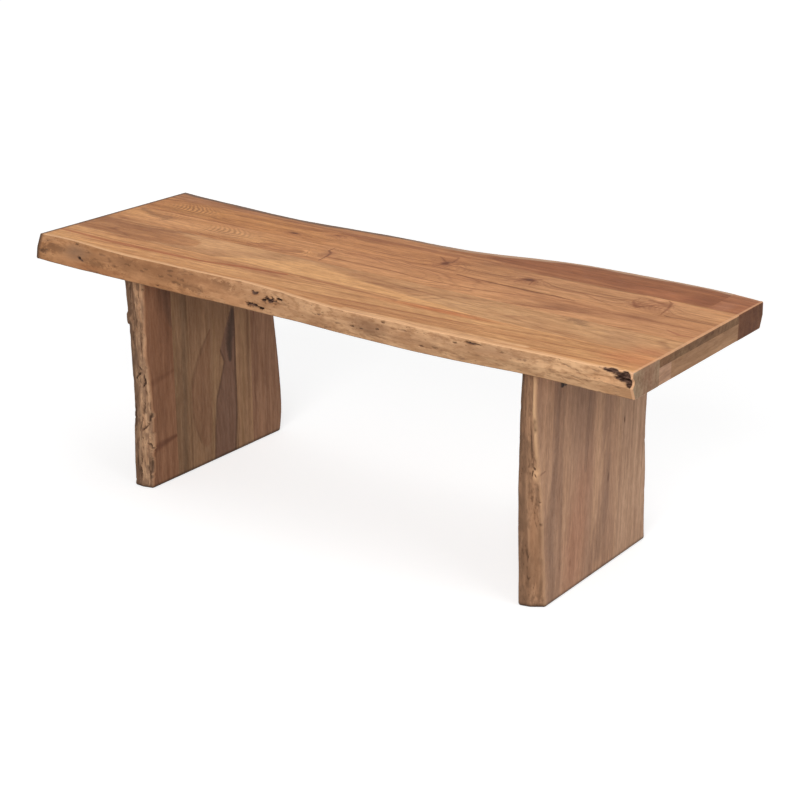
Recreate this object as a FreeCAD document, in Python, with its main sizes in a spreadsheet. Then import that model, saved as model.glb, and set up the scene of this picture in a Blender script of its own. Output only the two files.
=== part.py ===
"""Live-edge dining bench: a built-up top on two slab legs.

The bench stands on Z = 0 with its length along X, its front towards -Y and its origin under the middle of
its overall box. Lengths are in millimetres.

The top is two full-thickness planks that keep the tree's own edge, three thin boards glued between them and
cross battens under the thin boards. Each leg is a slab of upright staves between two live-edge planks. A
steel plate, screwed to the leg's end grain and let into a batten, is bolted to the top from below.
"""
import FreeCAD
import Part
import Sketcher

import os

Vector = FreeCAD.Vector
Rotation = FreeCAD.Rotation

SIZES = {
    # the whole top
    "seat_length": 1219,
    "seat_height": 457,
    "seat_thickness": 44,
    "panel_thickness": 15,
    "arris_ease": 2,
    # across the top, front to back; a live edge wanders between its plank's waist and its full width
    "front_plank_waist": 69,
    "front_plank_width": 100,
    "board_front_width": 83,
    "board_middle_width": 85,
    "board_back_width": 83,
    "back_plank_waist": 23,
    "back_plank_width": 97,
    "end_block_length": 54,
    # bark pocket: a tapered hollow that runs out of the front plank's right end, its axis outside the waist
    "bark_pocket_length": 64,
    "bark_pocket_radius": 8,
    "bark_pocket_tip": 3,
    "bark_pocket_offset": 12,
    "bark_pocket_drop": 17,
    # cross battens under the thin boards
    "end_batten_width": 70,
    "filler_block_length": 36,
    "leg_batten_width": 160,
    "centre_batten_width": 80,
    "batten_chamfer": 4,
    # slab legs, set in from the bench's ends; a glue line's y is measured from the middle of the bench
    "leg_inset": 196.5,
    "leg_thickness": 40.5,
    "left_front_plank_waist": 60,
    "left_front_plank_width": 75,
    "left_front_glue_y": -99,
    "left_front_stave_width": 43,
    "left_heart_stave_width": 124,
    "left_back_stave_width": 43,
    "left_back_plank_waist": 50,
    "left_back_plank_width": 87,
    "right_front_plank_waist": 34,
    "right_front_plank_width": 82,
    "right_front_glue_y": -93,
    "right_wide_stave_width": 175,
    "right_back_stave_width": 51,
    "right_back_plank_waist": 40,
    "right_back_plank_width": 60,
    # steel plate on each leg
    "plate_width": 100,
    "plate_length": 220,
    "plate_thickness": 5,
    "plate_corner": 8,
    "plate_clearance": 1,
    # countersunk wood screws, plate to leg
    "screw_spacing": 75,
    "screw_diameter": 5,
    "screw_head_diameter": 9.6,
    "screw_length": 50,
    "screw_clearance": 0.1,
    # flat-headed connector bolts into threaded inserts, plate to batten
    "bolt_gauge_x": 72,
    "bolt_gauge_y": 170,
    "bolt_diameter": 8,
    "bolt_length": 20,
    "bolt_head_diameter": 17,
    "bolt_head_height": 2.6,
    "bolt_socket_size": 5,
    "bolt_socket_depth": 4,
    "bolt_clearance": 0.5,
    "thread_clearance": 0.1,
    "insert_diameter": 12,
    "insert_length": 18,
    "insert_bottom_room": 2,
    "insert_clearance": 0.1,
}

# sizes that follow from the ones above
FORMULAS = {
    "panel_width": "=board_front_width + board_middle_width + board_back_width",
    "seat_depth": "=front_plank_width + panel_width + back_plank_width",
    "front_glue_y": "=front_plank_width - seat_depth / 2",
    "back_glue_y": "=front_glue_y + panel_width",
    "panel_y": "=(front_glue_y + back_glue_y) / 2",
    "board_front_y": "=front_glue_y + board_front_width / 2",
    "board_middle_y": "=front_glue_y + board_front_width + board_middle_width / 2",
    "board_back_y": "=back_glue_y - board_back_width / 2",
    "seat_end_x": "=seat_length / 2",
    "seat_bottom": "=seat_height - seat_thickness",
    "panel_bottom": "=seat_height - panel_thickness",
    "batten_thickness": "=seat_thickness - panel_thickness",
    "end_batten_x": "=seat_end_x - end_batten_width / 2",
    "right_batten_length": "=panel_width - filler_block_length",
    "right_batten_y": "=back_glue_y - right_batten_length / 2",
    "filler_block_y": "=front_glue_y + filler_block_length / 2",
    "leg_x": "=seat_end_x - leg_inset",
    "leg_inner_x": "=leg_x - leg_thickness / 2",
    "leg_outer_x": "=leg_x + leg_thickness / 2",
    "left_front_stave_y": "=left_front_glue_y + left_front_stave_width / 2",
    "left_heart_stave_y": "=left_front_glue_y + left_front_stave_width + left_heart_stave_width / 2",
    "left_back_glue_y": "=left_front_glue_y + left_front_stave_width + left_heart_stave_width"
                        " + left_back_stave_width",
    "left_back_stave_y": "=left_back_glue_y - left_back_stave_width / 2",
    "right_wide_stave_y": "=right_front_glue_y + right_wide_stave_width / 2",
    "right_back_glue_y": "=right_front_glue_y + right_wide_stave_width + right_back_stave_width",
    "right_back_stave_y": "=right_back_glue_y - right_back_stave_width / 2",
    "plate_top": "=seat_bottom + plate_thickness",
    "recess_width": "=plate_width + 2 * plate_clearance",
    "recess_length": "=plate_length + 2 * plate_clearance",
    "recess_corner": "=plate_corner + plate_clearance",
    "screw_hole_diameter": "=screw_diameter + screw_clearance",
    "screw_sink_diameter": "=screw_head_diameter + screw_clearance",
    "pilot_depth": "=screw_length - plate_thickness + screw_clearance",
    "bolt_hole_diameter": "=bolt_diameter + 2 * bolt_clearance",
    "insert_hole_diameter": "=insert_diameter + insert_clearance",
    "insert_hole_depth": "=insert_length + insert_bottom_room",
    "insert_bore": "=bolt_diameter + thread_clearance",
}

# How far each live edge swells from its waist (0) to its full width (1), at even steps along the plank.
# The three rows follow the edge on one face, at mid-thickness and on the other face.
# Seat: underside, middle, top; the front runs from the right end, the back from the left end.
SEAT_FRONT_SWELL = (
    (0.00, 0.06, 0.15, 0.55, 0.68, 0.68, 0.60, 0.63, 0.71, 0.77, 0.81, 0.84, 0.72),
    (0.32, 0.45, 0.61, 0.84, 0.90, 0.94, 0.77, 0.58, 0.65, 0.74, 0.77, 0.63, 0.64),
    (0.29, 0.50, 0.73, 0.89, 0.94, 1.00, 0.74, 0.37, 0.45, 0.55, 0.58, 0.26, 0.38),
)
SEAT_BACK_SWELL = (
    (0.39, 0.31, 0.26, 0.18, 0.20, 0.23, 0.23, 0.36, 0.69, 0.88, 0.93, 0.93, 0.74),
    (0.39, 0.28, 0.20, 0.11, 0.18, 0.24, 0.27, 0.41, 0.77, 0.95, 1.00, 1.00, 0.84),
    (0.34, 0.20, 0.09, 0.01, 0.10, 0.21, 0.24, 0.36, 0.73, 0.94, 0.99, 0.99, 0.82),
)
# Legs, from the floor up: front planks from the -X face to the +X face, back planks from +X to -X.
LEFT_FRONT_SWELL = (
    (1.00, 0.83, 0.47, 0.37, 0.53, 0.77, 1.00),
    (1.00, 0.73, 0.47, 0.53, 0.73, 0.80, 0.87),
    (0.63, 0.30, 0.00, 0.20, 0.53, 0.47, 0.43),
)
LEFT_BACK_SWELL = (
    (0.76, 0.97, 0.84, 0.66, 0.51, 0.30, 0.05),
    (0.81, 1.00, 0.89, 0.70, 0.54, 0.32, 0.11),
    (0.65, 0.81, 0.76, 0.54, 0.35, 0.16, 0.00),
)
RIGHT_FRONT_SWELL = (
    (0.40, 0.47, 0.54, 0.57, 0.56, 0.55, 0.48),
    (0.29, 0.40, 0.50, 0.58, 0.71, 0.81, 0.81),
    (0.00, 0.17, 0.33, 0.51, 0.76, 0.97, 1.00),
)
RIGHT_BACK_SWELL = (
    (0.95, 0.65, 0.40, 0.08, 0.05, 0.10, 0.15),
    (1.00, 0.75, 0.55, 0.30, 0.20, 0.20, 0.20),
    (0.70, 0.50, 0.30, 0.15, 0.05, 0.00, 0.00),
)

SCREWS_PER_LEG = 3
SCREW_STEPS = [i - (SCREWS_PER_LEG - 1) / 2 for i in range(SCREWS_PER_LEG)]
CORNERS = [(-1, -1), (1, -1), (1, 1), (-1, 1)]
SIDES = {"left": -1, "right": 1}
SOCKET_SIDES = 6
SEALED_SIDES = 12
OFFCUT_MARGIN = 5
TOUCH = 0.01

doc = FreeCAD.newDocument("bench")
sub_parts = []


def write_sheet():
    """Puts every size in the sheet: a name, a number or formula, and the name as the cell's alias."""
    sheet = doc.addObject("Spreadsheet::Sheet", "Sizes")
    for row, (alias, size) in enumerate({**SIZES, **FORMULAS}.items(), start=1):
        sheet.set(f"A{row}", alias)
        sheet.set(f"B{row}", str(size))
        sheet.setAlias(f"B{row}", alias)
    doc.recompute()
    return sheet


def size(expression):
    """The number that an expression on the sheet's names comes to."""
    return float(sizes.evalExpression(expression))


def bind(thing, **expressions):
    """Ties properties to the sheet; a double underscore in a name stands for a dot."""
    for name, expression in expressions.items():
        thing.setExpression(name.replace("__", "."), expression)


def place(thing, x="0", y="0", z="0"):
    """Ties a piece's position to the sheet."""
    bind(thing, Placement__Base__x=x, Placement__Base__y=y, Placement__Base__z=z)


def keep(thing, label):
    """Names a finished piece and adds it to the ones that are written out."""
    thing.Label = label
    sub_parts.append(thing)
    return thing


def sheet_size(name):
    """How an expression outside the sheet refers to one of its names."""
    return f"Sizes.{name}"


def new_sketch(body, name, role="XY_Plane", lift=None):
    """A sketch on one of the body's origin planes, lifted along the plane's normal if asked."""
    sketch = body.newObject("Sketcher::SketchObject", name)
    plane = next(feature for feature in body.Origin.OriginFeatures if feature.Role == role)
    sketch.AttachmentSupport = [(plane, "")]
    sketch.MapMode = "FlatFace"
    if lift:
        bind(sketch, AttachmentOffset__Base__z=lift)
    return sketch


def fix_point(sketch, geometry, point, x, y):
    """Holds a sketch point at (x, y), two expressions; "0" puts it on the axis."""
    for expression, kind, axis in ((x, "DistanceX", -2), (y, "DistanceY", -1)):
        if expression == "0":
            sketch.addConstraint(Sketcher.Constraint("PointOnObject", geometry, point, axis))
        else:
            held = Sketcher.Constraint(kind, -1, 1, geometry, point, size(expression))
            bind(sketch, **{f"Constraints[{sketch.addConstraint(held)}]": expression})


def draw_outline(sketch, points):
    """A closed outline of straight lines through points, each a pair of expressions."""
    corners = [Vector(size(x), size(y), 0) for x, y in points]
    for i, corner in enumerate(corners):
        sketch.addGeometry(Part.LineSegment(corner, corners[(i + 1) % len(corners)]))
    for i, (x, y) in enumerate(points):
        sketch.addConstraint(Sketcher.Constraint("Coincident", i, 2, (i + 1) % len(points), 1))
        fix_point(sketch, i, 1, x, y)


def draw_rectangle(sketch, width, length):
    """A rectangle centred on the sketch's origin; width and length are names on the sheet."""
    half_x = f"{sheet_size(width)} / 2"
    half_y = f"{sheet_size(length)} / 2"
    draw_outline(sketch, [(f"{i} * {half_x}", f"{j} * {half_y}") for i, j in CORNERS])


def draw_circles(sketch, centres, diameter):
    """Circles of one named diameter at centres, each a pair of expressions."""
    for x, y in centres:
        centre = Vector(size(x), size(y), 0)
        circle = sketch.addGeometry(Part.Circle(centre, Vector(0, 0, 1), size(sheet_size(diameter)) / 2))
        fix_point(sketch, circle, 3, x, y)
        width = sketch.addConstraint(Sketcher.Constraint("Diameter", circle, size(sheet_size(diameter))))
        bind(sketch, **{f"Constraints[{width}]": sheet_size(diameter)})


def pad(body, sketch, thickness, down=False):
    """Raises a sketch into a solid of a named thickness."""
    feature = body.newObject("PartDesign::Pad", "Pad")
    feature.Profile = sketch
    feature.Reversed = down
    bind(feature, Length=sheet_size(thickness))
    doc.recompute()
    return feature


def pocket(body, sketch, depth, up=False):
    """Cuts a sketch into the body to a named depth."""
    feature = body.newObject("PartDesign::Pocket", "Pocket")
    feature.Profile = sketch
    feature.Reversed = up
    bind(feature, Length=sheet_size(depth))
    doc.recompute()
    return feature


def edge_names(shape, wanted):
    """The names of the edges whose box passes a test."""
    return [f"Edge{i}" for i, edge in enumerate(shape.Edges, start=1) if wanted(edge.BoundBox)]


def runs_along_y(box):
    """True for an edge that is straight along Y."""
    return box.XLength < TOUCH and box.ZLength < TOUCH


def runs_along_z(box):
    """True for an edge that is straight along Z."""
    return box.XLength < TOUCH and box.YLength < TOUCH


def round_corners(body, radius, wanted=runs_along_z):
    """Fillets the upright edges of a body that a test picks; radius is a name on the sheet."""
    base = body.Tip
    fillet = body.newObject("PartDesign::Fillet", "Fillet")
    fillet.Base = (base, edge_names(base.Shape, wanted))
    bind(fillet, Radius=sheet_size(radius))
    doc.recompute()


def chamfer_across(body, amount, z=0):
    """Chamfers the edges that run across a board at one height; amount is a name on the sheet."""
    base = body.Tip
    chamfer = body.newObject("PartDesign::Chamfer", "Chamfer")
    chamfer.Base = (base, edge_names(base.Shape, lambda box: runs_along_y(box) and abs(box.ZMin - z) < TOUCH))
    bind(chamfer, Size=sheet_size(amount))
    doc.recompute()


def new_board(name, width, length, thickness):
    """A flat board standing on its own XY plane; its three sizes are names on the sheet."""
    body = doc.addObject("PartDesign::Body", name)
    sketch = new_sketch(body, "Outline")
    draw_rectangle(sketch, width, length)
    pad(body, sketch, thickness)
    return body


def cut(name, base, tool):
    """One solid with another cut out of it."""
    result = doc.addObject("Part::Cut", name)
    result.Base = base
    result.Tool = tool
    return result


def add_seat_boards():
    """The thin boards of the top, eased where they come out at the bench's ends."""
    for board in ("front", "middle", "back"):
        body = new_board(f"seat_board_{board}", "seat_length", f"board_{board}_width", "panel_thickness")
        chamfer_across(body, "arris_ease", size("Sizes.panel_thickness"))
        place(body, y=f"Sizes.board_{board}_y", z="Sizes.panel_bottom")
        keep(body, f"seat_board_{board}")


def add_plain_battens():
    """The end battens, the filler block beside the right one and the batten under the middle."""
    end = "Sizes.end_batten_x"
    rows = (
        ("end_batten_left", "end_batten_width", "panel_width", f"-{end}", "panel_y"),
        ("end_batten_right", "end_batten_width", "right_batten_length", end, "right_batten_y"),
        ("end_filler_block", "end_batten_width", "filler_block_length", end, "filler_block_y"),
        ("centre_batten", "centre_batten_width", "panel_width", "0", "panel_y"),
    )
    for label, width, length, x, y in rows:
        body = new_board(label, width, length, "batten_thickness")
        chamfer_across(body, "arris_ease")
        place(body, x, sheet_size(y), "Sizes.seat_bottom")
        keep(body, label)


def bolt_places():
    """The bolts' places about the middle of a plate, as pairs of expressions."""
    return [(f"{i} * Sizes.bolt_gauge_x / 2", f"{j} * Sizes.bolt_gauge_y / 2") for i, j in CORNERS]


def screw_places(offset="0"):
    """The screws' places about the middle of a plate, moved back by an offset along Y."""
    return [("0", f"{step} * Sizes.screw_spacing - {offset}") for step in SCREW_STEPS]


def add_leg_battens():
    """The wide battens over the legs, with the plate's recess and the inserts' holes in their undersides."""
    for side, sign in SIDES.items():
        label = f"leg_batten_{side}"
        body = new_board(label, "leg_batten_width", "panel_width", "batten_thickness")
        chamfer_across(body, "batten_chamfer")
        whole = body.Shape.Volume
        recess = new_sketch(body, "Recess")
        draw_rectangle(recess, "recess_width", "recess_length")
        pocket(body, recess, "plate_thickness", up=True)
        half_recess = size("Sizes.recess_width") / 2
        round_corners(body, "recess_corner",
                      lambda box: runs_along_z(box) and abs(abs(box.XMin) - half_recess) < TOUCH)
        holes = new_sketch(body, "InsertHoles", lift="Sizes.plate_thickness")
        draw_circles(holes, bolt_places(), "insert_hole_diameter")
        pocket(body, holes, "insert_hole_depth", up=True)
        if body.Shape.Volume >= whole:
            raise RuntimeError(f"{label}: the recess was not cut")
        place(body, f"{sign} * Sizes.leg_x", "Sizes.panel_y", "Sizes.seat_bottom")
        keep(body, label)


def add_leg_staves():
    """The upright staves between the live-edge planks, drilled at the top for the plate's screws."""
    staves = {"left": ("front", "heart", "back"), "right": ("wide", "back")}
    for side, names in staves.items():
        for stave in names:
            label = f"{side}_leg_{stave}_stave"
            y = f"Sizes.{side}_{stave}_stave_y"
            body = new_board(label, "leg_thickness", f"{side}_{stave}_stave_width", "seat_bottom")
            chamfer_across(body, "arris_ease")
            drilling = new_sketch(body, "PilotHoles", lift="Sizes.seat_bottom")
            draw_circles(drilling, screw_places(f"({y} - Sizes.panel_y)"), "screw_hole_diameter")
            pocket(body, drilling, "pilot_depth")
            place(body, f"{SIDES[side]} * Sizes.leg_x", y)
            keep(body, label)


def live_outline(length, waist, width, shares, z, inset):
    """One outline of the wood beyond a live edge: a spline along the edge, closed by straight lines."""
    outer = width + OFFCUT_MARGIN
    run = length + 2 * OFFCUT_MARGIN
    stations = [i / (len(shares) - 1) for i in range(len(shares))]
    edge = [
        Vector(station * run - OFFCUT_MARGIN, waist + share * (width - waist) - inset, z)
        for station, share in zip(stations, shares)
    ]
    curve = Part.BSplineCurve()
    curve.interpolate(Points=edge, Parameters=stations)
    corners = [edge[-1], Vector(edge[-1].x, outer, z), Vector(edge[0].x, outer, z), edge[0]]
    return Part.Wire([curve.toShape(), *Part.makePolygon(corners).Edges])


def live_edge(name, length, thickness, waist, width, swell):
    """The wood beyond a live edge, which is cut away, eased along both faces of the plank.

    It lies in the plank's own frame: glue edge on Y = 0, length along X, thickness up Z.
    """
    ease = size("Sizes.arris_ease")
    past = ease + OFFCUT_MARGIN
    first, middle, last = swell
    levels = (
        (first, -OFFCUT_MARGIN, past),
        (first, ease, 0),
        (middle, thickness / 2, 0),
        (last, thickness - ease, 0),
        (last, thickness + OFFCUT_MARGIN, past),
    )
    outlines = [live_outline(length, waist, width, *level) for level in levels]
    offcut = doc.addObject("Part::Feature", f"{name}_offcut")
    offcut.Shape = Part.makeLoft(outlines, True, True)
    return offcut


def live_plank(name, start, length, thickness, width, offcut, open_ends):
    """A plank cut to its live edge from a blank whose edges across the open ends are eased."""
    blank = doc.addObject("Part::Box", f"{name}_blank")
    bind(blank, Length=length, Width=width, Height=thickness)
    place(blank, x=start)
    doc.recompute()
    ease = size("Sizes.arris_ease")
    eased = doc.addObject("Part::Chamfer", f"{name}_eased")
    eased.Base = blank
    eased.Edges = [
        (i, ease, ease)
        for i, edge in enumerate(blank.Shape.Edges, start=1)
        if runs_along_y(edge.BoundBox) and any(abs(edge.BoundBox.XMin - x) < TOUCH for x in open_ends)
    ]
    sawn = cut(f"{name}_sawn", eased, offcut)
    doc.recompute()
    return sawn


def add_seat_planks():
    """The full-thickness planks of the top: front, back, and the block that ends the back one."""
    length = size("Sizes.seat_length")
    thickness = size("Sizes.seat_thickness")
    ends = [0, length]

    front_edge = live_edge("seat_front", length, thickness, size("Sizes.front_plank_waist"),
                           size("Sizes.front_plank_width"), SEAT_FRONT_SWELL)
    front = live_plank("seat_front_plank", "0", "Sizes.seat_length", "Sizes.seat_thickness",
                       "Sizes.front_plank_width", front_edge, ends)
    bark = doc.addObject("Part::Cone", "bark_pocket")
    bind(bark, Radius1="Sizes.bark_pocket_radius", Radius2="Sizes.bark_pocket_tip",
         Height="Sizes.bark_pocket_length")
    bark.Placement.Rotation = Rotation(Vector(0, 1, 0), 90)
    place(bark, y="Sizes.front_plank_waist + Sizes.bark_pocket_offset",
          z="Sizes.seat_thickness - Sizes.bark_pocket_drop")
    pocketed = cut("seat_front_plank", front, bark)
    pocketed.Placement.Rotation = Rotation(Vector(0, 0, 1), 180)
    place(pocketed, "Sizes.seat_end_x", "Sizes.front_glue_y", "Sizes.seat_bottom")
    keep(pocketed, "seat_front_plank")

    back_edge = live_edge("seat_back", length, thickness, size("Sizes.back_plank_waist"),
                          size("Sizes.back_plank_width"), SEAT_BACK_SWELL)
    butt = "Sizes.seat_length - Sizes.end_block_length"
    pieces = (
        ("seat_back_plank", "0", butt),
        ("seat_back_end_block", butt, "Sizes.end_block_length"),
    )
    for label, start, run in pieces:
        piece = live_plank(label, start, run, "Sizes.seat_thickness", "Sizes.back_plank_width",
                           back_edge, ends)
        place(piece, "-Sizes.seat_end_x", "Sizes.back_glue_y", "Sizes.seat_bottom")
        keep(piece, label)


def add_leg_planks():
    """The live-edge planks at the front and back of each leg, stood on end."""
    swells = {
        ("left", "front"): LEFT_FRONT_SWELL,
        ("left", "back"): LEFT_BACK_SWELL,
        ("right", "front"): RIGHT_FRONT_SWELL,
        ("right", "back"): RIGHT_BACK_SWELL,
    }
    turns = {"front": Rotation(Vector(1, 0, 1), 180), "back": Rotation(Vector(0, 1, 0), -90)}
    first_faces = {
        ("left", "front"): "-Sizes.leg_outer_x",
        ("left", "back"): "-Sizes.leg_inner_x",
        ("right", "front"): "Sizes.leg_inner_x",
        ("right", "back"): "Sizes.leg_outer_x",
    }
    height = size("Sizes.seat_bottom")
    floor_end = [0]
    for (side, end), swell in swells.items():
        plank = f"Sizes.{side}_{end}_plank"
        label = f"{side}_leg_{end}_plank"
        edge = live_edge(label, height, size("Sizes.leg_thickness"), size(f"{plank}_waist"),
                         size(f"{plank}_width"), swell)
        piece = live_plank(label, "0", "Sizes.seat_bottom", "Sizes.leg_thickness", f"{plank}_width", edge,
                           floor_end)
        piece.Placement.Rotation = turns[end]
        place(piece, first_faces[side, end], f"Sizes.{side}_{end}_glue_y")
        keep(piece, label)


def add_leg_plates():
    """The steel plates, flush with the seat's underside: countersunk for the screws, bored for the bolts."""
    for side, sign in SIDES.items():
        label = f"leg_plate_{side}"
        body = doc.addObject("PartDesign::Body", label)
        outline = new_sketch(body, "Outline")
        draw_rectangle(outline, "plate_width", "plate_length")
        pad(body, outline, "plate_thickness", down=True)
        round_corners(body, "plate_corner")
        for name, centres, diameter in (("ScrewHoles", screw_places(), "screw_hole_diameter"),
                                        ("BoltHoles", bolt_places(), "bolt_hole_diameter")):
            sketch = new_sketch(body, name)
            draw_circles(sketch, centres, diameter)
            doc.recompute()
            hole = body.newObject("PartDesign::Hole", "Hole")
            hole.Profile = sketch
            hole.DepthType = "ThroughAll"
            hole.ThreadType = "None"
            doc.recompute()
            bind(hole, Diameter=sheet_size(diameter))
            if name == "ScrewHoles":
                hole.HoleCutType = "Countersink"
                hole.HoleCutCustomValues = True
                bind(hole, HoleCutDiameter="Sizes.screw_sink_diameter")
                hole.HoleCutCountersinkAngle = 90
            doc.recompute()
        place(body, f"{sign} * Sizes.leg_x", "Sizes.panel_y", "Sizes.plate_top")
        keep(body, label)


def corner_radius(across_flats, sides):
    """The radius through a prism's corners, from its size across flats."""
    return f"{across_flats} / 2 / cos(180 deg / {sides})"


def prism(name, sides, radius, height):
    """A prism standing on its own XY plane, from the radius through its corners."""
    solid = doc.addObject("Part::Prism", name)
    solid.Polygon = sides
    bind(solid, Circumradius=radius, Height=height)
    return solid


def make_screw():
    """A countersunk wood screw with its head at Z = 0 and its shank down; sealed in wood, so many-sided."""
    head, shank = "Sizes.screw_head_diameter", "Sizes.screw_diameter"
    sections = (
        ("screw_head", head, "0"),
        ("screw_neck", shank, f"({shank} - {head}) / 2"),
        ("screw_end", shank, "-Sizes.screw_length"),
    )
    screw = doc.addObject("Part::Loft", "wood_screw")
    for name, diameter, z in sections:
        section = doc.addObject("Part::RegularPolygon", name)
        section.Polygon = SEALED_SIDES
        bind(section, Circumradius=f"{diameter} / 2")
        place(section, z=z)
        screw.Sections += [section]
    screw.Solid = True
    screw.Ruled = True
    return screw


def make_insert():
    """A threaded insert standing on its own XY plane; sealed in wood, so many-sided."""
    sleeve = prism("insert_sleeve", SEALED_SIDES, "Sizes.insert_diameter / 2", "Sizes.insert_length")
    bore_radius = corner_radius("Sizes.insert_bore", SEALED_SIDES)
    bore = prism("insert_thread", SEALED_SIDES, bore_radius, "Sizes.insert_length")
    return cut("threaded_insert", sleeve, bore)


def make_bolt():
    """A connector bolt with a wide flat head: the head's seat at Z = 0, the shank up, the socket below."""
    shank, head = "Sizes.bolt_diameter / 2", "Sizes.bolt_head_diameter / 2"
    body = doc.addObject("PartDesign::Body", "bolt_blank")
    profile = new_sketch(body, "Profile", "XZ_Plane")
    draw_outline(profile, [
        ("0", "-Sizes.bolt_head_height"),
        (head, "-Sizes.bolt_head_height"),
        (head, "0"),
        (shank, "0"),
        (shank, "Sizes.bolt_length"),
        ("0", "Sizes.bolt_length"),
    ])
    turned = body.newObject("PartDesign::Revolution", "Revolution")
    turned.Profile = profile
    turned.ReferenceAxis = (profile, ["V_Axis"])
    socket_radius = corner_radius("Sizes.bolt_socket_size", SOCKET_SIDES)
    socket = prism("bolt_socket", SOCKET_SIDES, socket_radius, "Sizes.bolt_socket_depth")
    place(socket, z="-Sizes.bolt_head_height")
    return cut("connector_bolt", body, socket)


def add_fasteners():
    """The fasteners of each leg, one group of alike solids per kind."""
    kinds = (
        ("leg_screws", make_screw(), screw_places(), "Sizes.plate_top"),
        ("seat_bolts", make_bolt(), bolt_places(), "Sizes.seat_bottom"),
        ("threaded_inserts", make_insert(), bolt_places(), "Sizes.plate_top"),
    )
    doc.recompute()
    for side, sign in SIDES.items():
        for kind, master, places, z in kinds:
            copies = [
                master.Shape.translated(Vector(size(x), size(y), 0))
                for x, y in places
            ]
            group = doc.addObject("Part::Feature", f"{kind}_{side}")
            group.Shape = Part.makeCompound(copies)
            place(group, f"{sign} * Sizes.leg_x", "Sizes.panel_y", z)
            keep(group, f"{kind}_{side}")


def write_parts():
    """Checks every object and writes each piece to its own file."""
    doc.recompute()
    failed = [thing.Name for thing in doc.Objects if {"Invalid", "Error"} & set(thing.State)]
    failed += [piece.Label for piece in sub_parts if piece.Shape.isNull() or not piece.Shape.isValid()]
    if failed:
        raise RuntimeError(f"not sound: {failed}")
    os.makedirs("parts", exist_ok=True)
    for piece in sub_parts:
        piece.Shape.exportStep(f"parts/{piece.Label}.step")


sizes = write_sheet()
add_seat_planks()
add_seat_boards()
add_plain_battens()
add_leg_battens()
add_leg_planks()
add_leg_staves()
add_leg_plates()
add_fasteners()
write_parts()
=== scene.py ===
"""Looks of a live-edge slab bench.

The bench is a glued-up top on two slab legs. Its flat boards, battens and hardware keep the shapes of the
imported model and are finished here. The planks that keep the tree's own edge are skinned again with a fine
mesh that has the edge's swells, furrows, knots and pits. Lengths are in metres, in the model's own frame: X
along the bench, -Y towards its front, Z up.
"""
import logging
import math
from dataclasses import KW_ONLY, dataclass, field
from enum import Enum

import bmesh
import bpy
import numpy as np
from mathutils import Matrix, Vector, noise
from mathutils.bvhtree import BVHTree


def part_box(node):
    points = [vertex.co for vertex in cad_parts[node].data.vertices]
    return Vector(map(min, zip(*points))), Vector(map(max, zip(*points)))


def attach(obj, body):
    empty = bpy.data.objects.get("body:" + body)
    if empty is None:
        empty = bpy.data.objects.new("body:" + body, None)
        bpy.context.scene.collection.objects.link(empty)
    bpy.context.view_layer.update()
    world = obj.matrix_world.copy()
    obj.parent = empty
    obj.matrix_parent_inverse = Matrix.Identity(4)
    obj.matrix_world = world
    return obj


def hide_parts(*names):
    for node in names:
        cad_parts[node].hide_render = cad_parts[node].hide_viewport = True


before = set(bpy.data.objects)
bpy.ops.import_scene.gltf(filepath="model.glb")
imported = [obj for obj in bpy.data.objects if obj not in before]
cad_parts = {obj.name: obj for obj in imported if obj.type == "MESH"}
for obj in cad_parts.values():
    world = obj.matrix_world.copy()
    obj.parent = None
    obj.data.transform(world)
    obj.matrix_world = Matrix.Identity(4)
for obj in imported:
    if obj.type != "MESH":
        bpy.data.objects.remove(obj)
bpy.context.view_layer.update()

log = logging.getLogger("bench")

BODY = "root"
SHARP_ANGLE = math.radians(40)
MILLIMETRES = 1000
SCAR_LIMIT = 3
LIVE_NUMBERS = ("bark_depth", "live", "hollow", "crest")

Colour = tuple[float, float, float, float]
Pair = tuple[float, float]
Triple = tuple[float, float, float]
Feed = float | tuple | bpy.types.NodeSocket


def screen(red: int, green: int, blue: int) -> Colour:
    """A linear colour from the three numbers that a screen shows for it.

    Args:
        red, green, blue: Screen values from 0 to 255.

    Returns:
        The colour as shader sockets take it.
    """
    shares = (red / 255, green / 255, blue / 255)
    linear = (share / 12.92 if share <= 0.04045 else ((share + 0.055) / 1.055) ** 2.4 for share in shares)
    return (*linear, 1.0)


class Grain(Enum):
    """Which way a board's grain runs: the axes of its length, its width and its thickness."""

    SEAT = (0, 1, 2)
    LEG = (2, 1, 0)
    CROSS = (1, 0, 2)


class Lay(Enum):
    """How a patch lies on the wood: over its figure or worked into it."""

    OVER = "MIX"
    INTO = "MULTIPLY"


class Side(Enum):
    """The end of the bench that a leg and its hardware are at."""

    LEFT = "left"
    RIGHT = "right"


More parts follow.
